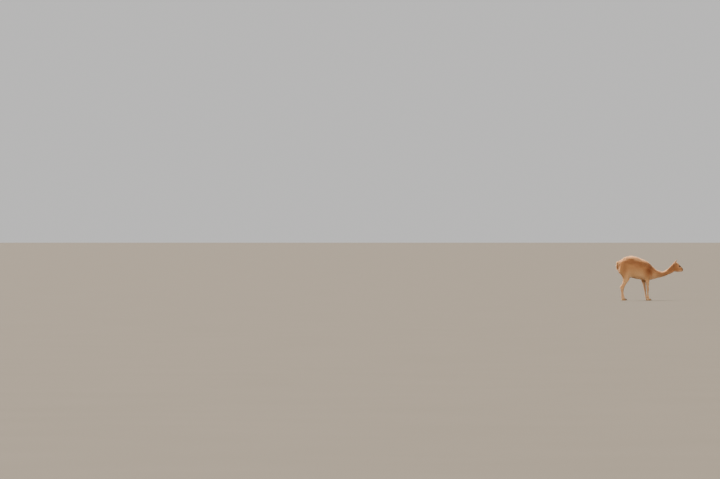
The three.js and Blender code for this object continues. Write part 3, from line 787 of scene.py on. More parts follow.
def coat_colour(sheet):
    """The coat's colour at a point, from the markings and some unevenness."""
    patches = sheet.noise(5.0, 4.0)
    fine = sheet.noise(60.0, 2.0)
    base = sheet.mixed(CINNAMON, TAN, sheet.step(patches, 0.35, 0.7))
    base = sheet.mixed(base, TAN, sheet.attribute("face") * 0.4)
    # the lower flank's light orange, partly painted bounce light from the floor
    base = sheet.mixed(base, APRICOT, sheet.attribute("glow") * (0.74 + 0.36 * fine))
    # rust, and painted shade behind the ears, beside the tail and along the edges of the back
    base = sheet.mixed(base, RUST_AND_SHADE, sheet.attribute("rust") * (0.6 + 0.6 * patches))
    base = sheet.mixed(base, CREAM, sheet.attribute("pale") * (0.78 + 0.3 * fine))
    streaks = sheet.noise(1.0, 2.0, sheet.place((230, 230, 45)))
    base = sheet.mixed(base, UMBER, sheet.step(streaks, 0.45, 0.75) * 0.24)
    # dark hair, and painted shadows behind the ears and beside the tail
    return sheet.mixed(base, DARK_HAIR_AND_SHADE, sheet.attribute("dusk") * (0.7 + 0.5 * fine)), fine


# the dark of the strands and of the painted shade, and of the bare skin
STRAND_AND_SHADE, BARE_SKIN = rgb(84, 56, 38), rgb(34, 26, 24)


def hide():
    """The skin under the coat: short flat hair darkened as painted shade, with bare dark skin on lids, lips
    and nostrils.
    """
    sheet = Sheet("hide", 0.75, 0.25, Sheen_Weight=0.15)
    colour, fine = coat_colour(sheet)
    strands = sheet.noise(1.0, 2.0, sheet.place((700, 700, 240)))
    # darker strands, over painted shade for skin that shows only between the tufts
    colour = sheet.mixed(colour, STRAND_AND_SHADE, 0.14 + (1 - strands) * 0.3)
    bare = sheet.maths("MAXIMUM", sheet.attribute("lid"), sheet.attribute("mouth"))
    sheet.colour(sheet.mixed(colour, BARE_SKIN, bare))
    sheet.roughness(0.8 - bare * 0.35)
    sheet.bump(strands * (1 - bare) + fine * 0.4, 0.0012, 0.6)
    return sheet.material


skin.data.materials.clear()
skin.data.materials.append(hide())
skin.data.shade_smooth()
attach(skin, "root")
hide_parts(*flesh)
print("skin material:", skin.data.materials[0].name)

# %% [markdown]
# Each ear is a thin leaf, rolled into a cup at its root and open towards the front and side. The skin's
# remesh would swallow so thin a wall, so the ears are skins of their own. Both follow the same shape as the
# solid ear, with many more rows, and their roots are sunk in the head, where the wool hides the join.

# %% Ears
EAR_LENGTH, EAR_WIDTH = 106.0, 42.0
EAR_BACK, EAR_HOLLOW = 0.6, 4.0  # how deep its two faces lie
EAR_ROOT = (510, 36, 732)
EAR_POINTS, EAR_OPENS = (0.36, 0.44, 0.82), (0.8, 0.6, 0.0)
EAR_WIDTHS = (0.55, 0.7, 0.86, 1, 0.98, 0.84, 0.6, 0.3, 0.07)  # from the root to the tip
EAR_BOW = 9  # how far its middle is bent back
EAR_SUNK = 0.12  # the share of its length that lies in the head
EAR_ROWS, EAR_COLUMNS = 44, 24


def ear_up(hand):
    """The way from one ear's root to its tip."""
    return unit(np.array([EAR_POINTS[0], EAR_POINTS[1] * hand, EAR_POINTS[2]]))


def ear_sheet(hand, depth):
    """One face of the ear, as rows from the root to the tip."""
    up = ear_up(hand)
    facing = np.array([EAR_OPENS[0], EAR_OPENS[1] * hand, EAR_OPENS[2]])
    opens = unit(facing - up * (facing @ up))
    across = np.cross(opens, up)
    t = np.linspace(0, 1, EAR_ROWS + 1)[:, None]
    edge = np.linspace(-1, 1, EAR_COLUMNS + 1)[None, :]
    half = EAR_WIDTH / 2 * np.interp(t, np.linspace(0, 1, len(EAR_WIDTHS)), EAR_WIDTHS)
    curl = 0.45 + 1.5 * (1 - t) ** 1.6
    radius = half / np.sin(np.minimum(curl, np.pi / 2))
    thick = depth * (1 - 0.75 * edge**2) * (1 - 0.6 * t)
    r = radius - np.minimum(thick, radius * 0.8)
    sideways = r * np.sin(edge * curl)
    forwards = radius * np.cos(curl) - r * np.cos(edge * curl) - EAR_BOW * np.sin(np.pi * t)
    rise = np.broadcast_to(EAR_LENGTH * (t * (1 + EAR_SUNK) - EAR_SUNK), sideways.shape)
    root = at(EAR_ROOT[0], EAR_ROOT[2], EAR_ROOT[1] * hand)
    place = rise[..., None] * up + sideways[..., None] * across + forwards[..., None] * opens
    return root + place.reshape(-1, 3) * MM


# %% [markdown]
# Two such sheets make an ear, its back and its hollow, and a wall round the edge closes it. The back is rust,
# the hollow cream, darkened all over by painted shade and most towards its middle and root, and the rim and
# the tip are dark.

# %% The ears as closed pieces
def split_quads(quads):
    """Two triangles for each face of four corners."""
    return np.concatenate([quads[:, [0, 1, 2]], quads[:, [0, 2, 3]]])


def grid_faces(rows, columns, flip=False):
    """The triangles of a grid of points."""
    i, j = np.meshgrid(np.arange(rows), np.arange(columns), indexing="ij")
    a = (i * (columns + 1) + j).ravel()
    quads = np.stack([a, a + 1, a + columns + 2, a + columns + 1], axis=1)
    return split_quads(quads[:, ::-1] if flip else quads)


def ear_faces_of(hand):
    """The triangles of one ear: its back, its hollow and the wall between them round the edge."""
    flip = hand < 0
    grid = np.arange((EAR_ROWS + 1) * (EAR_COLUMNS + 1)).reshape(EAR_ROWS + 1, EAR_COLUMNS + 1)
    n = grid.size
    ring = np.concatenate([grid[0], grid[1:, -1], grid[-1, -2::-1], grid[-2:0:-1, 0]])
    after = np.roll(ring, -1)
    wall = np.concatenate([np.stack([ring, ring + n, after], 1), np.stack([after, ring + n, after + n], 1)])
    backs = grid_faces(EAR_ROWS, EAR_COLUMNS, flip)
    fronts = grid_faces(EAR_ROWS, EAR_COLUMNS, not flip) + n
    return np.concatenate([backs, fronts, wall[:, ::-1] if flip else wall])


row = np.tile(np.repeat(np.linspace(0, 1, EAR_ROWS + 1), EAR_COLUMNS + 1), 2)
edge = np.tile(np.linspace(-1, 1, EAR_COLUMNS + 1), 2 * (EAR_ROWS + 1))
inside = np.repeat([0.0, 1.0], len(row) // 2)
rim = smoothstep(0.7, 0.98, np.maximum(np.abs(edge), row))
tip = smoothstep(0.6, 1, row)
ear_marks = {key: np.zeros(len(row)) for key in (*MARKS, "lid", "mouth")}
# painted shade in the hollow: less cream towards its middle and its root
ear_marks["pale"] = inside * (0.7 - 0.4 * (1 - np.abs(edge)) * (1 - row)) * (1 - rim * 0.6)
ear_marks["rust"] = (1 - inside) * 0.85
# the dark over the whole hollow is painted shade; the rim and the tip are dark hair
ear_marks["dusk"] = np.maximum.reduce([rim * 0.75, (1 - inside) * 0.45, tip * 0.75, inside * 0.4])
ears = {}
for name, hand in HANDS.items():
    ear_points = np.concatenate([ear_sheet(hand, EAR_BACK), ear_sheet(hand, EAR_HOLLOW)])
    ears[name] = (ear_points, ear_faces_of(hand))
    piece = new_piece("ear_skin_" + name, *ears[name], ear_marks)
    piece.data.materials.append(skin.data.materials[0])
    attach(piece, "root")
    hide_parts("ear_" + name)
print("ears with", len(ear_points), "points each")

# %% [markdown]
# The eyes are large and dark, with a pupil that lies along the lids. The iris and the pupil are painted by
# their distance from the line of sight, which is the ball's own Z. A clear coat gives the wet shine.

# %% The eye's material
IRIS_BROWN, IRIS_DARK, IRIS_EDGE, PUPIL = rgb(40, 24, 15), rgb(22, 13, 9), rgb(12, 8, 7), rgb(4, 4, 6)
PUPIL_HALF, PUPIL_HIGH = 6.5, 3.6  # mm
IRIS_FROM, IRIS_TO = 9.0, 12.5


def eye_material():
    """A dark brown iris with fine rays, a wide pupil and a wet surface."""
    sheet = Sheet("eye", 0.12, 0.16, Coat_Weight=0.12, Coat_Roughness=0.02, IOR=1.36)
    forwards, upwards, _ = sheet.parts(sheet.node("TexCoord", output=3))
    along, up = forwards * 1000, upwards * 1000
    from_sight = (along * along + up * up) ** 0.5
    pupil = 1 - sheet.step(((along / PUPIL_HALF) ** 2 + (up / PUPIL_HIGH) ** 2) ** 0.5, 0.9, 1.1)
    rays = sheet.noise(1.0, 4.0, sheet.place((500, 500, 60)))
    iris = sheet.mixed(IRIS_BROWN, IRIS_DARK, rays)
    iris = sheet.mixed(iris, IRIS_EDGE, sheet.step(from_sight, IRIS_FROM, IRIS_TO))
    sheet.colour(sheet.mixed(iris, PUPIL, pupil))
    return sheet.material


# %% [markdown]
# The ball is built round its line of sight, with the bulge in front, and is then turned to look the way the
# opening between the lids does.

# %% The eyeballs
EYE = eye_material()
EYE_ROWS, EYE_TURNS = 40, 64
CORNEA, CORNEA_REACH = 1.1 * MM, 0.62  # its bulge, and the angle it spans from the line of sight
theta = np.linspace(0, np.pi, EYE_ROWS + 1)[:, None]
turn = np.linspace(0, 2 * np.pi, EYE_TURNS + 1)[None, :]
bulge = EYE_RADIUS - 0.15 * MM + CORNEA * bell(theta, 0, CORNEA_REACH, 4)
ball = np.stack([
    bulge * np.sin(theta) * np.cos(turn),
    bulge * np.sin(theta) * np.sin(turn),
    bulge * np.cos(theta) * np.ones_like(turn),
], axis=-1).reshape(-1, 3)
for name, hand in HANDS.items():
    piece = new_piece("eyeball_" + name, ball, grid_faces(EYE_ROWS, EYE_TURNS))
    weld(piece)
    axes = eye_axes(hand)
    turned = axes if np.linalg.det(axes) > 0 else axes * np.array([-1, 1, 1])[:, None]
    piece.matrix_world = Matrix.Translation(Vector(eye_centres[name])) @ Matrix(turned.T.tolist()).to_4x4()
    piece.data.materials.append(EYE)
    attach(piece, "root")
    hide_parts("eye_" + name)
print("eyes", round(EYE_RADIUS * 2000), "mm across")

# %% [markdown]
# The edge of each lid is a moist dark rim. It is made as a tube along the two arcs of the opening, and it
# covers the uneven edge of the skin as well.

# %% Rims of the lids
RIM_RADIUS, RIM_LIFT, RIM_SIDES = 0.85 * MM, 1.5 * MM, 8


def tube(path, radius, sides):
    """The points and triangles of a closed tube along a closed path."""
    ahead = unit(np.roll(path, -1, 0) - np.roll(path, 1, 0))
    out = unit(path - path.mean(0))
    out = unit(out - ahead * (out * ahead).sum(1, keepdims=True))
    third = np.cross(ahead, out)
    angles = np.linspace(0, 2 * np.pi, sides, endpoint=False)[:, None]
    ring = path[:, None] + radius * (np.cos(angles) * out[:, None] + np.sin(angles) * third[:, None])
    i, j = np.meshgrid(np.arange(len(path)), np.arange(sides), indexing="ij")
    following, beside = (i + 1) % len(path), (j + 1) % sides
    quads = [i * sides + j, i * sides + beside, following * sides + beside, following * sides + j]
    return ring.reshape(-1, 3), split_quads(np.stack(quads, -1).reshape(-1, 4))


def rim_material():
    """Moist dark skin."""
    sheet = Sheet("lid_rim", 0.5, 0.35, Coat_Weight=0.12, Coat_Roughness=0.2)
    grain = sheet.noise(900.0, 2.0)
    sheet.colour(sheet.mixed(rgb(26, 19, 18), rgb(52, 38, 34), grain))
    sheet.bump(grain, 0.0004, 0.5)
    return sheet.material


def lid_path(axes, centre, lift, count=36):
    """Points along the opening: the upper arc forwards, then the lower arc back."""
    s = np.cos(np.linspace(np.pi, 0, count))
    upper = np.stack([s * OPEN_HALF, OPEN_UP * (1 - s**2)], 1)
    lower = np.stack([s[::-1] * OPEN_HALF, -OPEN_DOWN * (1 - s[::-1] ** 2)], 1)[1:-1]
    flat = np.concatenate([upper, lower])
    sight = np.sqrt(np.maximum(EYE_RADIUS**2 - (flat**2).sum(1), 0))
    on_ball = np.concatenate([flat, sight[:, None]], 1)
    return centre + on_ball * (1 + lift / EYE_RADIUS) @ axes


# %% [markdown]
# Long lashes stand on the upper lid. Each is a thin blade of five triangles that grows outwards, fans towards
# the corners of the eye and curls up. A rim and its lashes are one piece.

# %% Lashes on the rims
LASH_PLACES, LASHES, LASH_LIFT = 52, slice(6, 50), 2.4 * MM  # two lashes grow at each place in the slice
LASH_LENGTH, LASH_EXTRA, LASH_HALF = 8.5, 3.5, 0.32 * MM
LASH_FACES = np.array([[0, 3, 4], [0, 4, 1], [1, 4, 5], [1, 5, 2], [2, 5, 6]])


def lash(root, way, across, lift, long):
    """The seven points of one lash: it grows along way and bends towards lift."""
    steps = np.array([0, 0.4, 0.75, 1.0])[:, None]
    curve = root + long * (steps * way + (0.35 * steps**2 - 0.25 * steps) * lift)
    wide = LASH_HALF * np.array([1, 0.8, 0.5])[:, None]
    return np.concatenate([curve[:3] - across * wide, curve[:3] + across * wide, curve[3:]])


RIM = rim_material()
for name, hand in HANDS.items():
    axes = eye_axes(hand)
    centre = eye_centres[name]
    rim_points, rim_faces = tube(lid_path(axes, centre, RIM_LIFT), RIM_RADIUS, RIM_SIDES)
    roots = np.repeat(lid_path(axes, centre, LASH_LIFT, LASH_PLACES)[LASHES], 2, 0)
    roots = roots + rng.normal(0, 0.3 * MM, (len(roots), 3))
    fan = (roots - centre) @ axes[0] / OPEN_HALF
    out = unit(unit(roots - centre) + 0.15 * axes[1] + 0.35 * fan[:, None] * axes[0])
    side = unit(np.cross(out, axes[1]))
    piece_points, piece_faces = [rim_points], [rim_faces]
    for number, (root, way, across) in enumerate(zip(roots, out, side)):
        long = (LASH_LENGTH + LASH_EXTRA * rng.random()) * MM
        piece_points.append(lash(root, way, across, axes[1], long))
        piece_faces.append(LASH_FACES + len(rim_points) + 7 * number)
    piece = new_piece("lid_rim_" + name, np.concatenate(piece_points), np.concatenate(piece_faces))
    piece.data.materials.append(RIM)
    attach(piece, "root")
print("lashes on each upper lid:", len(roots))

# %% [markdown]
# Each toe ends in a narrow dark nail. The solid nails are cut from flat faces, so each is melted at a fine
# voxel and rounded off, and its material has the fine growth lines of horn.

# %% Nails
NAIL_VOXEL, NAIL_RELAX = 1.0 * MM, 8
HORN_DARK, HORN_LIGHT, HORN_LINE = rgb(44, 35, 30), rgb(96, 80, 66), rgb(28, 22, 20)


def horn():
    """Dark clouded horn with growth lines across the nail."""
    sheet = Sheet("horn", 0.42, 0.4, Coat_Weight=0.1)
    lines = sheet.noise(1.0, 3.0, sheet.place((160, 160, 900)))
    cloud = sheet.noise(90.0, 3.0)
    colour = sheet.mixed(HORN_DARK, HORN_LIGHT, cloud * 0.7)
    sheet.colour(sheet.mixed(colour, HORN_LINE, lines * 0.6))
    sheet.bump(lines, 0.0006, 0.5)
    return sheet.material


HORN = horn()
nails = sorted(n for n in nodes if "nail" in n)
for name in nails:
    piece = placed("fine_" + name, nodes[name].data.copy())
    remesh(piece, NAIL_VOXEL)
    set_points(piece.data, spread(triangles_of(piece.data)[0], edges_of(piece.data), NAIL_RELAX))
    piece.data.materials.clear()
    piece.data.materials.append(HORN)
    piece.data.shade_smooth()
    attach(piece, "root")
    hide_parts(name)
print("nails:", len(nails))

# %% [markdown]
# The coat comes next. Hair curves would be lost outside Blender, so every tuft is real mesh: a narrow flat
# blade that leaves the skin at an angle, bends over and tapers to its tip. First the places of the tufts are
# drawn, evenly over the skin, closer where they are narrower. The wool is longer round the root of the tail
# and hangs straight down over the rump. None grows on lids, lips, nostrils and soles, nor on the tail's end.

# %% Where tufts grow
def scatter(points, faces, per_area, seed):
    """Faces and shares of their corners for roots spread evenly, with per_area roots to a square metre."""
    draw = np.random.default_rng(seed)
    a, b, c = (points[faces[:, i]] for i in range(3))
    area = np.linalg.norm(np.cross(b - a, c - a), axis=1) / 2
    ends = np.cumsum(area * per_area[faces].mean(1))
    marks_along = np.arange(int(ends[-1])) + draw.random(int(ends[-1]))
    chosen = np.minimum(np.searchsorted(ends, marks_along), len(faces) - 1)
    u, v = draw.random((2, len(chosen)))
    over = u + v > 1
    u, v = np.where(over, 1 - u, u), np.where(over, 1 - v, v)
    return chosen, np.stack([1 - u - v, u, v], 1)


def carried(values, faces, chosen, shares):
    """Values of the skin's points, carried to the roots on its faces."""
    corners = values[faces[chosen]]
    return (corners * shares[:, :, None]).sum(1) if values.ndim == 2 else (corners * shares).sum(1)


def plant(values_of, faces, per_area, seed):
    """Roots with all that their points have, among it "place" and "out", and the face each one grows on."""
    chosen, shares = scatter(values_of["place"], faces, per_area, seed)
    roots = {key: carried(values, faces, chosen, shares) for key, values in values_of.items()}
    roots["out"] = unit(roots["out"])
    return roots, chosen


SPACING = 0.74  # in widths of a tuft
SEAT, DOCK = ((-628, 620), (50, 75)), ((-612, 790), (40, 30))  # under and over the root of the tail
RUMP, HANGING = (-600, -500), np.array([-0.05, 0, -1.0])

x, y, z = drawn(points)
length, width, rise, lie = (coat_values(column) for column in (0, 1, 2, 4))
seat = spot(x, z, *SEAT)
length = length * (1 + 0.7 * seat + 0.3 * spot(x, z, *DOCK))
rise = rise + 10 * seat
lie = lie + (1 - smoothstep(*RUMP, x))[:, None] * (HANGING - lie)
bare = (lid_dark > 0.45) | (np.maximum(mouth_dark, nose_dark) > 0.3)
sole = (z < 6) & (normals[:, 2] < -0.3)
tail_end = (x < -632) & (z < 645) & (normals[:, 2] < -0.4)
per_area = np.where(bare | sole | tail_end, 0.0, 1 / (SPACING * width * MM) ** 2)
combed = {"lie": lie, "length": length, "width": width, "rise": rise}
roots, chosen = plant({"place": points, "out": normals, **combed, **marks}, faces, per_area, 3)
print("tufts:", len(chosen))

# %% [markdown]
# Wool doesn't lie strand by strand: it gathers in small locks, with clefts between them. So a looser set of
# lock middles is drawn too. Each tuft leans towards the nearest one, and shares its swirl, its length and
# its shade. That is what breaks the outline and the light on a real fleece.

# %% Locks
LOCK_SPACING = 6.0  # in widths of a tuft
SWIRL = 0.16  # how much the lie turns from lock to lock, in radians
seeds, seed_shares = scatter(points, faces, per_area * (SPACING / LOCK_SPACING) ** 2, 5)
lock_places = carried(points, faces, seeds, seed_shares)
lock_tree = KDTree(len(lock_places))
for index, place in enumerate(lock_places):
    lock_tree.insert(Vector(place), index)
lock_tree.balance()
lock_of = np.array([lock_tree.find(Vector(p))[1] for p in roots["place"]])
lock_swirl = rng.normal(0, SWIRL, len(lock_places))
lock_shade = rng.random(len(lock_places))
lock_long = rng.uniform(0.82, 1.12, len(lock_places))
print("locks:", len(lock_places))

# %% [markdown]
# One tuft is three triangles: two points at its root, two half way and one at its tip. It starts a little
# below the skin and flattens as it goes, so it bends over. Each copy differs in length, width, rise and turn.
# A flat blade would flash like paper, so its points get normals between the skin's and the blade's own, and
# the light falls on the tufts as it does on round locks of wool.

# %% One tuft, many times over
STOPS, SHAPES = (0.0, 0.5, 1.0), (1.0, 0.72, 0.0)  # shares of the length, and the width at each
BLADE = np.array([(0, 2, 3), (0, 3, 1), (2, 4, 3)])
ACROSS = np.array([-1.0, 1.0, -1.0, 1.0, 0.0])
ALONG = np.array([0.0, 0.0, 0.5, 0.5, 1.0])
SUNK = 0.06  # the share of the length that the root lies below the skin
BEND = 1.1  # the share of its rise that a tuft loses by its tip
LEAN, LEAN_MOST = 0.4, 0.22  # the share of the way to the lock's middle, and the most in lengths of the tuft
FROM_SKIN, FROM_BLADE, ROUNDED = 0.72, 0.38, 0.25  # what a point's normal is made of


def along_skin(vectors, out):
    """What is left of vectors without their part along the skin's normals."""
    return vectors - out * (vectors * out).sum(1, keepdims=True)


def rotated(first, second, angle):
    """Two square directions, turned together in their plane."""
    return np.cos(angle) * first + np.sin(angle) * second, np.cos(angle) * second - np.sin(angle) * first


def grow(roots, pull, swirl, seed):
    """The points, triangles and normals of one blade for each root."""
    draw = np.random.default_rng(seed)
    n = len(roots["place"])
    out = roots["out"]
    hung = unit(out * np.where(out[:, 2:] < 0, (1, 1, 0.35), 1))  # under the belly, hair shows its side
    way = unit(along_skin(roots["lie"], out))
    way, side = rotated(way, np.cross(out, way), (swirl + draw.normal(0, 0.2, n))[:, None])
    long = (roots["length"] * MM * draw.uniform(0.82, 1.1, n))[:, None]
    rise = np.radians(roots["rise"] * draw.uniform(0.7, 1.25, n))[:, None]
    wide = (roots["width"] * MM * draw.uniform(0.8, 1.15, n))[:, None] / 2
    roll = draw.normal(0, 0.45, n)[:, None]
    stem = roots["place"] - out * SUNK * long
    pull = along_skin(pull, out)
    reach = np.maximum(np.linalg.norm(pull, axis=1, keepdims=True), 1e-9)
    pull = pull * np.minimum(LEAN, LEAN_MOST * long / reach)
    rows, normals, before = [], [], 0.0
    for stop, shape in zip(STOPS, SHAPES):
        angle = rise * (1 - BEND * (stop + before) / 2)
        stem = stem + long * (stop - before) * (np.cos(angle) * way + np.sin(angle) * out)
        before = stop
        here = stem + pull * stop**1.5
        angle = rise * (1 - BEND * stop)
        flat, top = rotated(side, np.cos(angle) * out - np.sin(angle) * way, roll)
        facing = unit(FROM_SKIN * hung + FROM_BLADE * top)
        for end in (-1, 1) if shape else (0,):
            rows.append(here + end * flat * wide * shape)
            normals.append(unit(facing + end * ROUNDED * flat))
    faces = BLADE[None] + (np.arange(n) * len(rows))[:, None, None]
    return np.stack(rows, 1).reshape(-1, 3), faces.reshape(-1, 3), np.stack(normals, 1).reshape(-1, 3)


# %% [markdown]
# For the export every tuft needs its own small patch on a map of the skin. The map unrolls each part of the
# body as a sleeve: along the part one way, around it the other. A tuft's patch sits where its root is. The
# four legs lie side by side on one sleeve.

# %% The map called OFBake
SLEEVES = {  # the sleeve's cell on the map, then the axis it runs along, and from where to where in mm
    "trunk": ((0.01, 0.01, 0.60, 0.58), "x", (-690, 260)),
    "neck": ((0.63, 0.01, 0.98, 0.30), "x", (120, 520)),
    "head": ((0.63, 0.33, 0.98, 0.58), "x", (450, 690)),
    "legs": ((0.01, 0.61, 0.86, 0.99), "z", (0, 560)),
    "tail": ((0.89, 0.61, 0.93, 0.99), "z", (600, 840)),
    "ears": ((0.95, 0.61, 0.99, 0.99), "z", (720, 920)),
}
SLEEVE_OF = {"torso": "trunk", "neck_lower": "neck", "neck_upper": "neck", "head": "head", "tail": "tail"}
TRUNK_MIDDLE, HEAD_MIDDLE, TAIL_MIDDLE, EARS_MIDDLE = 650, 655, -650, 530
HIND_LEGS, FORE_LEGS, BETWEEN_LEGS, LEG_OUT = -505, -40, -280, 78
PATCH = 0.003


def around(first, second):
    """The share of a full turn at which two distances from a sleeve's middle point."""
    return np.arctan2(first, second) / (2 * np.pi) + 0.5


def unrolled(place, sleeve):
    """A root's place on the map."""
    (u0, v0, u1, v1), axis, (start, end) = SLEEVES[sleeve]
    x, y, z = drawn(place)
    u = np.clip(((x if axis == "x" else z) - start) / (end - start), 0, 1)
    if sleeve == "legs":
        hind = x < BETWEEN_LEGS
        middle = np.where(hind, HIND_LEGS, FORE_LEGS) + (z - 250) * 0.02
        share = np.clip(around(np.abs(y) - LEG_OUT, x - middle), 0.02, 0.98)
        u, v = (2 * hind + (y > 0) + share) / 4, u
    elif axis == "x":
        neck_middle = 560 + 0.36 * (x - 200)
        v = around(y, z - {"trunk": TRUNK_MIDDLE, "neck": neck_middle, "head": HEAD_MIDDLE}[sleeve])
    else:
        v = around(y, x - (TAIL_MIDDLE if sleeve == "tail" else EARS_MIDDLE))
    return np.stack([u0 + u * (u1 - u0), v0 + v * (v1 - v0)], 1)


def patch_map(at_root):
    """The map's places for every point of every tuft."""
    u = at_root[:, None, 0] + PATCH * 0.5 * ACROSS[None]
    v = at_root[:, None, 1] + PATCH * ALONG[None]
    return np.stack([u, v], -1).reshape(-1, 2)


# %% [markdown]
# The coat's material is the skin's, with what only tufts have: a root darkened as painted shade, a paler tip,
# painted rim light on the tips along the crest and the rump, a shade of each lock's own, and fine strands
# along the blade. Wool scatters light softly, so it is rough, with a little sheen, and thin enough for half
# of the light to pass through.

# %% The coat's material
# the colour of the painted shade at a tuft's root, and the cream of pale tips and of painted rim light
ROOT_SHADE, TIP_AND_RIM_CREAM = rgb(92, 62, 42), rgb(252, 222, 172)
CLEFT_BROWN, THROUGH = rgb(88, 56, 36), rgb(250, 208, 164)


def wool():
    """The coat's colours, with painted shade at a tuft's root, a paler tip and painted rim light on the
    crest.
    """
    sheet = Sheet("wool", 0.82, 0.2, Sheen_Weight=0.6, Sheen_Roughness=0.4, Sheen_Tint=(1.0, 0.9, 0.78, 1.0))
    colour, _ = coat_colour(sheet)
    tip, shade = sheet.attribute("tip"), sheet.attribute("shade")
    strands = sheet.noise(900.0, 2.0)
    # painted shade: each tuft is darker towards its root, less so on pale coat
    colour = sheet.mixed(colour, ROOT_SHADE, (1 - tip) * 0.24 * (1 - sheet.attribute("pale") * 0.5))
    # painted rim light: the tips along the crest and the rump are paled towards cream
    rim_light = sheet.attribute("bleached") * (0.2 + 0.5 * tip)
    colour = sheet.mixed(colour, TIP_AND_RIM_CREAM, tip * tip * 0.22 * shade + rim_light)
    sheet.colour(sheet.mixed(colour, CLEFT_BROWN, (1 - shade) * 0.36 * strands))
    sheet.roughness(0.75 + 0.15 * strands)
    sheet.bump(strands, 0.0006, 0.5)
    sheet.let_through(0.5, THROUGH)
    return sheet.material


WOOL = wool()

# %% [markdown]
# The tufts are put on sleeve by sleeve, and a sleeve with many of them is made in several pieces, which keeps
# each piece light enough to export. Short flat hair hardly gathers, so its locks count for less: the longer
# the hair, the more of its shade and length comes from its lock. A tuft far from its lock's middle is
# shorter, and that rounds each lock off.

# %% The coat on the skin
MOST_TRIANGLES = 190_000  # in one piece


def clad(name, roots, pull, swirl, shade, sleeve, seed):
    """Tufts as pieces of the coat; returns how many triangles they have."""
    order = np.lexsort((roots["place"][:, 0], roots["place"][:, 1] > 0))
    parts = max(1, math.ceil(len(order) / (MOST_TRIANGLES // len(BLADE))))
    total = 0
    for number, chosen in enumerate(np.array_split(order, parts)):
        own = {key: values[chosen] for key, values in roots.items()}
        tufts, triangles, facing = grow(own, pull[chosen], swirl[chosen], seed + number)
        values_of = {key: np.repeat(own[key], len(ALONG)) for key in MARKS}
        values_of["tip"] = np.tile(ALONG, len(chosen))
        values_of["shade"] = np.repeat(shade[chosen], len(ALONG))
        uv = patch_map(unrolled(own["place"], sleeve))
        piece = new_piece(f"coat_{name}_{number + 1}", tufts, triangles, values_of, uv, facing)
        piece.data.materials.append(WOOL)
        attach(piece, "root")
        total += len(triangles)
    print(name, "tufts", len(order), "in", parts, "pieces")
    return total


root_sleeve = np.array([SLEEVE_OF.get(name, "legs") for name in flesh])[labels[faces[chosen, 0]]]
pull = lock_places[lock_of] - roots["place"]
gather = smoothstep(7, 16, roots["length"])
own_shade = rng.random(len(lock_of)) - 0.5
shade = 0.5 + (0.15 + 0.45 * gather) * (lock_shade[lock_of] - 0.5) + (0.8 - 0.4 * gather) * own_shade
from_middle = np.linalg.norm(pull, axis=1) / (LOCK_SPACING * roots["width"] * MM)
in_lock = lock_long[lock_of] * (1.06 - 0.3 * np.minimum(from_middle, 1) ** 2)
roots["length"] = roots["length"] * (1 + (0.3 + 0.7 * gather) * (in_lock - 1))
fleece = 0
for seed, sleeve in enumerate(("trunk", "neck", "head", "legs", "tail")):
    mine = root_sleeve == sleeve
    own = {key: values[mine] for key, values in roots.items()}
    fleece += clad(sleeve, own, pull[mine], lock_swirl[lock_of][mine], shade[mine], sleeve, 100 * seed)
print("coat:", fleece, "triangles")

# %% [markdown]
# The back of an ear has short hair that lies towards its tip. The hollow is edged with longer pale hair that
# leans in from both rims.

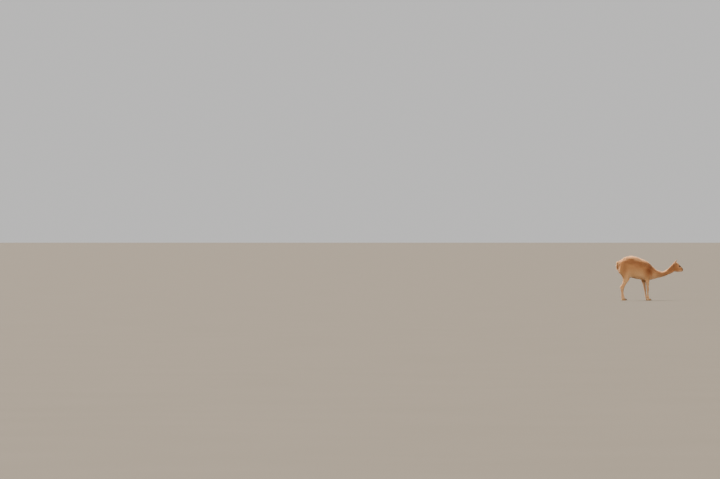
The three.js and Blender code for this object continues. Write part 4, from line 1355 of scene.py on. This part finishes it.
# %% Hair of the ears
EAR_HAIR = 1.25 * MM  # from one root to the next
EAR_TUFT_WIDTH, BACK_LENGTH, HOLLOW_EXTRA = 1.6, 6.0, 6.0
BACK_RISE, HOLLOW_RISE = 20, 14  # degrees, the second on top of the first
for name, (ear_points, ear_faces) in ears.items():
    hand = HANDS[name]
    density = np.where(inside > 0.5, 0.35 + 0.65 * np.abs(edge) ** 2, 1.0) / EAR_HAIR**2
    on_ear = {"place": ear_points, "out": normals_of(ear_points, ear_faces), **ear_marks}
    ear_roots, chosen = plant({**on_ear, "inside": inside, "row": row}, ear_faces, density, 31 + hand)
    many = len(chosen)
    hollow, from_root = ear_roots.pop("inside"), ear_roots.pop("row")
    ear_roots["lie"] = np.broadcast_to(ear_up(hand), (many, 3))
    ear_roots["length"] = BACK_LENGTH + HOLLOW_EXTRA * hollow * (1 - from_root)
    ear_roots["width"] = np.full(many, EAR_TUFT_WIDTH)
    ear_roots["rise"] = BACK_RISE + HOLLOW_RISE * hollow
    shade = rng.random(many)
    swirl = rng.normal(0, 0.15, many)
    fleece += clad("ear_" + name, ear_roots, np.zeros((many, 3)), swirl, shade, "ears", 900)
print("coat with ears:", fleece, "triangles")

# %% [markdown]
# The picture was taken against the light: a low sun behind the animal edges its back with cream, and the side
# towards us is in soft shade. In the studio that is a warm lamp behind and above, a much weaker and softer
# one low in front, and a pale surround. The floor is plain, and so large that its edge is never seen.

# %% Floor and lights
FLOOR_HALF = 1500.0


def lamp(name, way, strength, softness, colour):
    """A lamp so far off that it lights the whole floor alike; softness is its width in degrees."""
    data = bpy.data.lights.new(name, "SUN")
    data.energy, data.angle, data.color = strength, math.radians(softness), colour
    placed(name, data).rotation_euler = Vector(way).to_track_quat("Z", "Y").to_euler()


def floor_material():
    """A matt grey brown with faint clouds in it."""
    sheet = Sheet("floor_paint", 0.9, 0.2)
    cloud = sheet.noise(0.7, 2.0)
    sheet.colour(sheet.mixed(rgb(77, 71, 64), rgb(82, 76, 69), cloud))
    return sheet.material


corners = [(-1, -1, 0), (1, -1, 0), (1, 1, 0), (-1, 1, 0)]
floor = new_piece("floor", FLOOR_HALF * np.array(corners, float), np.array([(0, 1, 2, 3)]))
floor.data.materials.append(floor_material())
lamp("rim", way=(-0.50, 0.38, 0.78), strength=17.5, softness=7, colour=(1.0, 0.92, 0.78))
lamp("fill", way=(0.22, -1.0, 0.17), strength=3.0, softness=44, colour=(1.0, 0.93, 0.85))
surround = bpy.data.worlds.new("surround")
bpy.context.scene.world = surround
surround.use_nodes = True
surround.node_tree.nodes["Background"].inputs["Color"].default_value = (0.88, 0.87, 0.86, 1)
surround.node_tree.nodes["Background"].inputs["Strength"].default_value = 0.78
print("floor and lights are set")
